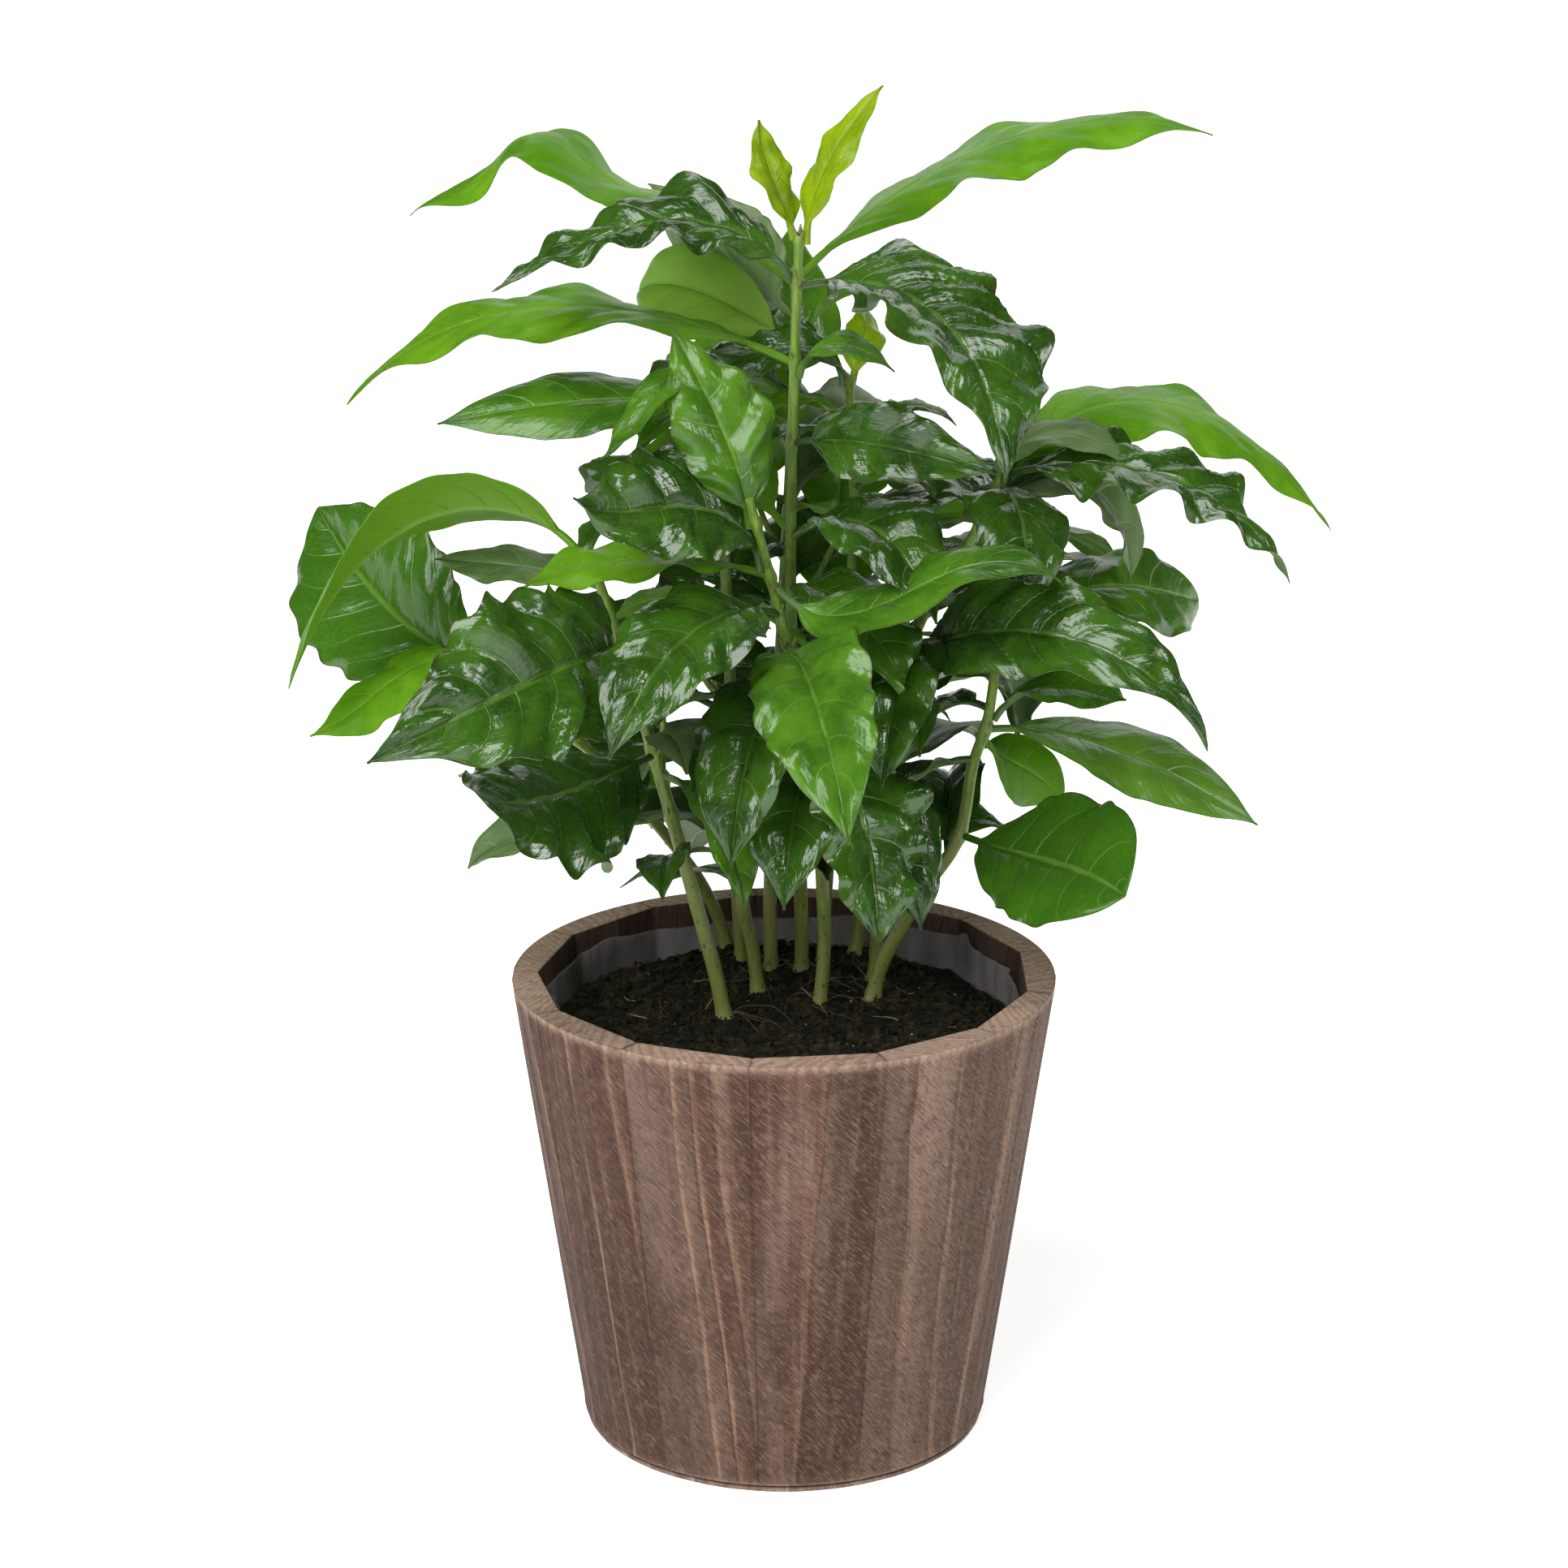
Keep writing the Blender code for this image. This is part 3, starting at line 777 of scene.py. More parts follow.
@dataclass(frozen=True)
class PaintFinish(Finish):
    """Matt pale paint that glows a little, for the floor."""

    colour: Colour
    glow: float
    roughness: float = 0.9

    def make(self) -> bpy.types.Material:
        """Make the paint.

        Returns:
            The material.
        """
        shader = Shader(self.name)
        shader.dress(Base_Color=self.colour, Roughness=self.roughness, Specular_IOR_Level=0.1)
        shader.dress(Emission_Color=(1.0, 1.0, 1.0), Emission_Strength=self.glow)
        return shader.material


STAVE_WOOD = WoodFinish(
    "stained_wood",
    hollow=(0.042, 0.0175, 0.011),
    body=(0.106, 0.048, 0.03),
    ridge=(0.29, 0.175, 0.115),
    grey=(0.2, 0.135, 0.101),
    worn=(0.47, 0.33, 0.245),
)
BOARD_WOOD = WoodFinish(
    "board_wood",
    hollow=(0.1, 0.06, 0.045),
    body=(0.22, 0.14, 0.1),
    ridge=(0.42, 0.3, 0.22),
    grey=(0.3, 0.22, 0.17),
    worn=(0.45, 0.34, 0.27),
)
GREEN_STEM = StemFinish(
    "green_stem",
    green=(0.16, 0.26, 0.02),
    olive=(0.09, 0.165, 0.012),
    cork=(0.2, 0.205, 0.06),
    scar=(0.03, 0.022, 0.012),
)
PEAT = GroundFinish("peat", (0.0065, 0.0065, 0.0034), (0.052, 0.041, 0.016), 0.85)
BARK_CRUMB = GroundFinish("bark_crumb", (0.025, 0.017, 0.009), (0.12, 0.075, 0.035), 0.8)
GRIT = PlainFinish("pale_grit", (0.42, 0.4, 0.34), 0.6)
STRAW = PlainFinish("straw", (0.3, 0.22, 0.1), 0.6)
ROOT = PlainFinish("fine_root", (0.1, 0.08, 0.05), 0.7)
MOSS = PlainFinish("moss", (0.13, 0.14, 0.025), 0.8)
BUD = PlainFinish("bud_scale", (0.16, 0.2, 0.03), 0.5)
CLEAR_FILM = FilmFinish("clear_film", (0.4, 0.38, 0.39), 0.28)


# Stems


@dataclass
class Stem:
    """One tapering stem, with the nodes where leaves leave it.

    foot and tip are radii, and route lists the points that the stem passes through.
    """

    name: str
    foot: float
    tip: float
    route: list[Point]
    joints: list[float] = field(default_factory=list)

    STEP = 1.6
    SIDES = 18
    SLIM = 0.9
    FLARE = 1.5
    FLARE_HEIGHT = 7.0
    JOINT_SWELL = 0.55
    JOINT_REACH = 1.7
    RIBS = 4
    RIB_DEPTH = 0.035

    def __post_init__(self) -> None:
        """Sample a smooth curve through the route."""
        points = [np.array(point, float) for point in self.route]
        ends = [points[0] * 2 - points[1], *points, points[-1] * 2 - points[-2]]
        made = [points[0]]
        for before, start, end, after in zip(ends, ends[1:], ends[2:], ends[3:]):
            steps = max(2, round(float(np.linalg.norm(end - start)) / self.STEP))
            for t in np.linspace(0, 1, steps + 1)[1:]:
                bend = 2 * before - 5 * start + 4 * end - after
                swing = 3 * start - before - 3 * end + after
                made.append((2 * start + (end - before) * t + bend * t * t + swing * t**3) / 2)
        self.line = np.array(made)

    def centre(self, height: float) -> np.ndarray:
        """The centre of the stem at a height."""
        return np.array([np.interp(height, self.line[:, 2], self.line[:, axis]) for axis in range(3)])

    def radius(self, height: np.ndarray) -> np.ndarray:
        """Taper the stem from its flared foot to its tip.

        Args:
            height: some heights.

        Returns:
            The stem's radius there, without its nodes.
        """
        low, high = self.line[0, 2], self.line[-1, 2]
        plain = self.SLIM * (self.foot + (self.tip - self.foot) * (height - low) / (high - low))
        flare = np.clip(1 - (height - low) / self.FLARE_HEIGHT, 0, 1)
        return plain * (1 + (self.FLARE - 1) * flare**2)

    def add_to(self, shell: Shell) -> None:
        """Add the stem's closed mesh, swollen a little at each node.

        Args:
            shell: the piece that it becomes part of.
        """
        line = self.line
        radii = self.radius(line[:, 2])
        for height in self.joints:
            radii = radii + self.JOINT_SWELL * np.exp(-(((line[:, 2] - height) / self.JOINT_REACH) ** 2))
        turns = np.linspace(0, 2 * math.pi, self.SIDES, endpoint=False)
        ribs = 1 + self.RIB_DEPTH * np.cos(self.RIBS * turns + 9 * self.foot)
        add_tube(shell, line, radii[:, None] * ribs, self.SIDES, (0.0, 1.0, 0.0))

    def build(self) -> bpy.types.Object:
        """Make the stem as a piece of its own."""
        shell = Shell()
        self.add_to(shell)
        return shell.make(f"{self.name}_bark", [GREEN_STEM.material()])


# Leaves


@dataclass(frozen=True)
class Habit:
    """How a leaf's surface is worked.

    quilt is how far it bulges between side veins, ruffle how far its edge waves, waves how many
    there are on each side, arch how far each half rises between midrib and edge, as a share of
    its width, scallop how far the outline goes in and out, and crumple its small unevenness.
    """

    quilt: float
    ruffle: float
    waves: float
    arch: float
    scallop: float
    crumple: float


class Surface(Enum):
    """The habits in the clump."""

    QUILTED = Habit(quilt=2.9, ruffle=2.6, waves=3.6, arch=0.08, scallop=0.06, crumple=0.6)
    CRISPED = Habit(quilt=3.1, ruffle=3.8, waves=4.6, arch=0.05, scallop=0.1, crumple=0.9)
    BROAD = Habit(quilt=1.6, ruffle=2.0, waves=2.6, arch=0.1, scallop=0.06, crumple=0.7)
    TENDER = Habit(quilt=1.6, ruffle=3.0, waves=2.6, arch=0.05, scallop=0.07, crumple=0.6)
    SOFT = Habit(quilt=1.2, ruffle=2.0, waves=2.7, arch=0.05, scallop=0.035, crumple=0.5)
    WAVY = Habit(quilt=0.7, ruffle=3.0, waves=3.2, arch=0.03, scallop=0.05, crumple=0.4)
    SMOOTH = Habit(quilt=0.5, ruffle=0.9, waves=2.0, arch=0.06, scallop=0.02, crumple=0.3)


@dataclass(frozen=True)
class Bend:
    """An extra bend in a midrib: its place and reach as shares of the length, and its slope."""

    at: float
    reach: float
    lift: float


@dataclass
class Leaf:
    """One leaf, from where it leaves its stem to its tip.

    height is where it leaves the stem. azimuth is the way it sets off, 0 to the right and 90
    away from the front, and sweep is how far it turns on its way. rise, level and droop are its
    slopes at the stem, halfway and at the tip. roll lifts its right side, twist is how much that
    grows from stem to tip, and fold is the rise of each half from the midrib, all in degrees.
    blunt rounds the tip, from 0 for a drawn-out point to 1. The number after it lightens or darkens
    the leaf: on most leaves that is its own tone, on a few it is painted light.
    """

    name: str
    tone: Tone
    surface: Surface
    height: float
    azimuth: float
    length: float
    width: float
    rise: float
    level: float
    droop: float
    sweep: float = 0.0
    roll: float = 0.0
    twist: float = 0.0
    fold: float = 0.0
    phase: float = 0.0
    bends: tuple[Bend, ...] = ()
    blunt: float = 0.0
    # Own tone on most leaves; painted light on a few.
    tone_and_painted_light: float = 0.0
    station: float = 1.25

    VEIN_SPACING = 12.5
    VEIN_LEAN = 0.19
    VEIN_BEND = 1.5
    VEIN_OFFSET = 0.28
    FINE = 200
    STALK = 0.08
    STALK_RADIUS = 1.05
    TIP_HALF_WIDTH = 0.35
    WIDEST_FRONT = 0.75
    WIDEST_BACK = 1.1
    BLUNTING = 0.6
    TAIL = 0.1
    TAIL_PINCH = 0.42
    SKIN = 0.16
    RIB = 0.75
    GROOVE = 0.22
    STAND_OFF = 0.8
    INSIDE_STEM = 1.4
    FULL_WIDTH = 30
    ACROSS = (0.0, 0.035, 0.085, 0.16, 0.25, 0.35, 0.45, 0.55, 0.65, 0.75, 0.84, 0.92, 0.97, 1.0)

    def slopes(self, share: np.ndarray) -> np.ndarray:
        """Run through the slopes at the stem, halfway and at the tip, and add the extra bends.

        Args:
            share: shares of the length.

        Returns:
            The midrib's slope there, in degrees.
        """
        start = self.rise * (1 - share) * (1 - 2 * share)
        middle = self.level * 4 * share * (1 - share)
        slope = start + middle + self.droop * share * (2 * share - 1)
        for bend in self.bends:
            slope = slope + bend.lift * np.exp(-(((share - bend.at) / bend.reach) ** 2))
        return slope

    def turns(self, share: np.ndarray) -> np.ndarray:
        """The midrib's azimuth in degrees at shares of its length."""
        return self.azimuth + self.sweep * share

    def rolls(self, share: np.ndarray) -> np.ndarray:
        """The blade's roll in degrees at shares of its length."""
        return self.roll + self.twist * (share - 0.5)

    def along(self, share: np.ndarray) -> np.ndarray:
        """Turn shares of the length into shares of the blade alone, after its stalk."""
        return np.clip((share - self.STALK) / (1 - self.STALK), 0, 1)

    def half_width(self, share: np.ndarray) -> np.ndarray:
        """Follow the outline, with its drawn-out tip.

        Args:
            share: shares of the length.

        Returns:
            Half of the blade's width there.
        """
        along = self.along(share)
        back = self.WIDEST_BACK - self.BLUNTING * self.blunt
        widest = self.WIDEST_FRONT / (self.WIDEST_FRONT + back)
        full = widest**self.WIDEST_FRONT * (1 - widest) ** back
        outline = along**self.WIDEST_FRONT * (1 - along) ** back / full
        pinch = 1 - self.TAIL_PINCH * (1 - self.blunt) * np.exp(-(((1 - along) / self.TAIL) ** 2))
        return self.width / 2 * outline * pinch

    def midrib(self, base: np.ndarray, stations: np.ndarray) -> tuple[np.ndarray, np.ndarray]:
        """Follow the midrib.

        Args:
            base: the stalk's start, off the stem.
            stations: shares of the length, negative inside the stem.

        Returns:
            The midrib's points and its directions.
        """
        share = (np.arange(self.FINE) + 0.5) / self.FINE
        ahead = directions(np.radians(self.slopes(share)), np.radians(self.turns(share)))
        run = np.vstack([np.zeros(3), np.cumsum(ahead * self.length / self.FINE, axis=0)]) + base
        knots = np.arange(self.FINE + 1) / self.FINE
        inside = np.clip(stations, 0, 1)
        points = np.stack([np.interp(inside, knots, run[:, axis]) for axis in range(3)], -1)
        ways = directions(np.radians(self.slopes(inside)), np.radians(self.turns(inside)))
        return points + ways * (np.minimum(stations, 0) * self.length)[:, None], ways

    def base(self, stem: Stem) -> np.ndarray:
        """Where the stalk starts, just off its stem."""
        turn = math.radians(self.azimuth)
        away = np.array([math.cos(turn), math.sin(turn), 0.0])
        return stem.centre(self.height) + away * (float(stem.radius(self.height)) + self.STAND_OFF)

    def veins(self, share: np.ndarray, across: np.ndarray) -> np.ndarray:
        """Count the side veins at places of the blade, so that each vein is a whole number.

        Args:
            share: shares of the length, as a grid.
            across: places from -1 at the left edge to 1 at the right, as a grid.

        Returns:
            The count at each place.
        """
        along = self.along(share)
        pairs = min(9.0, max(4.0, self.length / self.VEIN_SPACING))
        uneven = 0.012 * np.sin(19 * along + 9 * self.phase) + self.VEIN_OFFSET / pairs * (across > 0)
        lean = self.VEIN_LEAN * np.abs(across) ** self.VEIN_BEND * (1.1 - 0.35 * along)
        return pairs * (along**0.93 - lean + uneven)

    def relief(self, share: np.ndarray, across: np.ndarray) -> tuple[np.ndarray, np.ndarray]:
        """Work the blade's surface.

        Args:
            share: shares of the length, as a column.
            across: places from -1 at the left edge to 1 at the right, as a row.

        Returns:
            The height above the folded blade in millimetres, and the width's factor.
        """
        habit = self.surface.value
        out = np.abs(across)
        along = self.along(share)
        body = np.sin(np.pi * along**0.8) ** 0.6
        small = min(1.0, self.width / self.FULL_WIDTH)
        # The fields between side veins bulge, some more than others
        veins = self.veins(share, across)
        bulge = np.sqrt(np.sin(np.pi * veins) ** 2 + 0.035) - 0.187
        uneven = 0.72 + 0.38 * np.sin(2.4 * np.floor(veins) + 9 * self.phase + 4 * (across > 0))
        field = np.sin(np.pi * np.clip(out * 0.84 + 0.06, 0, 1)) ** 0.8
        quilt = habit.quilt * small * bulge * uneven * field
        # The edges wave, the left one out of step with the right
        side = np.where(across > 0, 0.0, 0.43)
        wave = np.sin(2 * np.pi * (habit.waves * along**1.15 + side + self.phase - 0.12 * out))
        slow = np.sin(2 * np.pi * (habit.waves * 0.43 * along + 1.7 * side + 2.3 * self.phase))
        ruffle = habit.ruffle * small * out**2.3 * (0.75 * wave + 0.4 * slow)
        # Two small waves that cross make the rest uneven
        seed = 7 * self.phase + self.height
        broad = np.sin(23 * along + 5 * across + seed) * np.sin(9 * across - 11 * along + 2 * seed)
        narrow = np.sin(47 * along - 8 * across + 3 * seed) * np.cos(17 * across + 13 * along)
        crumple = habit.crumple * small * out * (broad + 0.6 * narrow)
        arch = habit.arch * self.half_width(share) * np.sin(np.pi * out)
        rim = slow - 0.7 * np.cos(2 * np.pi * veins)
        return (quilt + ruffle + crumple) * body + arch, 1 + habit.scallop * rim * body

    def grid(self, base: np.ndarray) -> tuple[np.ndarray, np.ndarray, np.ndarray, np.ndarray]:
        """Lay the blade's middle surface.

        Args:
            base: the stalk's start, off the stem.

        Returns:
            Its points, its normals, the shares of the length and the places across.
        """
        inner = -self.INSIDE_STEM / self.length
        count = max(14, round(self.length / self.station))
        stations = np.concatenate([[inner], np.linspace(0, 1, count)])
        half_row = np.array(self.ACROSS)
        across = np.concatenate([-half_row[:0:-1], half_row])
        share, side = np.meshgrid(stations, across, indexing="ij")
        line, ahead = self.midrib(base, stations)
        turn = np.radians(self.turns(np.clip(stations, 0, 1)))
        level_side = np.stack([np.sin(turn), -np.cos(turn), 0 * turn], -1)
        level_up = np.cross(level_side, ahead)
        roll = np.radians(self.rolls(np.clip(stations, 0, 1)))[:, None]
        right = np.cos(roll) * level_side + np.sin(roll) * level_up
        up = np.cos(roll) * level_up - np.sin(roll) * level_side
        lift, breadth = self.relief(np.clip(share, 0, 1), side)
        stalk = 1 - smoothstep(self.STALK * 0.7, self.STALK * 1.7, share)
        half = np.maximum(self.half_width(np.clip(share, 0, 1)) * breadth, self.TIP_HALF_WIDTH)
        half = np.maximum(half, self.STALK_RADIUS * np.clip(stalk * 2, 0, 1))
        fold = math.radians(self.fold)
        sideways = side * half * math.cos(fold)
        upwards = np.abs(side) * half * math.sin(fold) * (1 - stalk) + lift * (1 - stalk)
        points = line[:, None] + right[:, None] * sideways[..., None] + up[:, None] * upwards[..., None]
        normals = np.cross(np.gradient(points, axis=1), np.gradient(points, axis=0))
        normals /= np.maximum(np.linalg.norm(normals, axis=2, keepdims=True), 1e-9)
        return points, normals, share, side

    def add_to(self, shell: Shell, stem: Stem, slot: int = 0) -> None:
        """Add the leaf's closed mesh to a piece.

        Args:
            shell: the piece.
            stem: the stem that bears the leaf.
            slot: the material slot of its top, with its lower face's in the next.
        """
        points, normals, share, side = self.grid(self.base(stem))
        stalk = 1 - smoothstep(self.STALK * 0.7, self.STALK * 1.9, share)
        out = np.abs(side)
        half = self.half_width(np.clip(share, 0, 1))
        rib_width = 0.5 + 0.6 * (1 - share)
        rib = self.RIB * (1 - 0.8 * np.clip(share, 0, 1)) * np.clip(1 - out * half / rib_width, 0, 1)
        round_stalk = self.STALK_RADIUS * np.sqrt(np.clip(1 - out**2, 0, 1))
        skin = self.SKIN * (1 - 0.5 * out**6)
        over = skin * (1 - stalk) + round_stalk * stalk
        groove = self.GROOVE * np.clip(1 - out * half / 1.2, 0, 1) * (1 - stalk)
        under = (skin + rib) * (1 - stalk) + round_stalk * stalk
        places = np.stack([self.along(share), (side + 1) / 2], -1)
        rows, columns = share.shape
        marks = {"tone_and_painted_light": np.full(share.shape, self.tone_and_painted_light), "vein": self.veins(np.clip(share, 0, 1), side)}
        top = shell.add_points(points + normals * (over - groove)[..., None], places, marks)
        low = shell.add_points(points - normals * under[..., None], places, marks)
        shell.add_grid(top, rows, columns, slot)
        shell.add_grid(low, rows, columns, slot + 1, flip=True)
        loop = [(0, c) for c in range(columns)]
        loop += [(r, columns - 1) for r in range(1, rows)]
        loop += [(rows - 1, c) for c in range(columns - 2, -1, -1)]
        loop += [(r, 0) for r in range(rows - 2, 0, -1)]
        steps = [row * columns + column for row, column in loop]
        edge = [[top + a, low + a, low + b, top + b] for a, b in zip(steps, steps[1:] + steps[:1])]
        shell.add_faces(edge, slot + 1)

    def build(self, stem: Stem) -> bpy.types.Object:
        """Make the leaf as a piece of its own."""
        shell = Shell()
        self.add_to(shell, stem)
        return shell.make(f"blade_{self.name}", self.tone.value.materials(), 62.0)


STEMS = {
    stem.name: stem
    for stem in (
        Stem("stem_main", 2.3, 1.3,
             [(5, 35, 116), (5, 34, 131), (4, 29, 170), (2, 17, 225),
              (2, 4, 270), (3.5, 0, 321), (4, 0, 333)],
             [321, 332, 300, 278]),
        Stem("stem_back", 2.2, 1.4,
             [(-3.5, 35, 116), (-4, 36, 140), (-2, 38, 190), (1, 37, 250), (3, 31, 292), (3, 22, 321)],
             [318, 304, 289, 250]),
        Stem("stem_shoot", 2.0, 1.2,
             [(11, 46, 116), (12, 46, 135), (16, 42, 190), (19, 28, 250), (17.5, 15, 293)],
             [292, 265]),
        Stem("stem_left_back", 2.2, 1.3,
             [(-7, 18, 116), (-9, 18, 132), (-12, 16, 150), (-15, 9, 220), (-17, 1, 285), (-17, -1, 298)],
             [289, 297, 250]),
        Stem("stem_left_front", 2.5, 1.4,
             [(-16, -5, 116), (-19, -5, 132), (-25, -5, 155), (-38, -7, 205), (-48, -6, 238), (-53, -5, 251)],
             [249, 223, 194, 177]),
        Stem("stem_left_far", 2.2, 1.4,
             [(-16, 54, 116), (-20, 53, 130), (-29, 48, 148), (-50, 30, 180), (-70, 12, 206), (-80, 4, 218)],
             [215, 190]),
        Stem("stem_front", 2.1, 1.3,
             [(9.7, 6, 116), (11, 6, 131), (11, 5, 145), (8, -2, 185), (0, -14, 230), (-9, -24, 268)],
             [261, 246, 232, 216, 194]),
        Stem("stem_right", 2.4, 1.5,
             [(26, 31, 116), (26.5, 31, 131), (28, 24, 172),
              (33, 9, 215), (41, 1, 238), (50, 0, 252), (59, 0, 271)],
             [267, 257, 222]),
        Stem("stem_right_low", 2.4, 1.4,
             [(24.6, 14, 116), (28, 13, 129), (38.5, 10, 150), (48, 8, 166),
              (51.5, 4, 188), (55, 1, 201), (57, 3, 215), (58, 5, 229)],
             [228, 199, 167]),
        Stem("stem_rear_left", 2.1, 1.3,
             [(-12, 43, 116), (-13, 43, 131), (-16, 45, 180), (-24, 50, 230), (-28, 52, 250)],
             [249, 224, 204]),
        Stem("stem_rear_right", 2.1, 1.3,
             [(20, 47, 116), (22, 48, 131), (28, 51, 180), (36, 54, 225), (40, 56, 243)],
             [242, 222, 203]),
    )
}

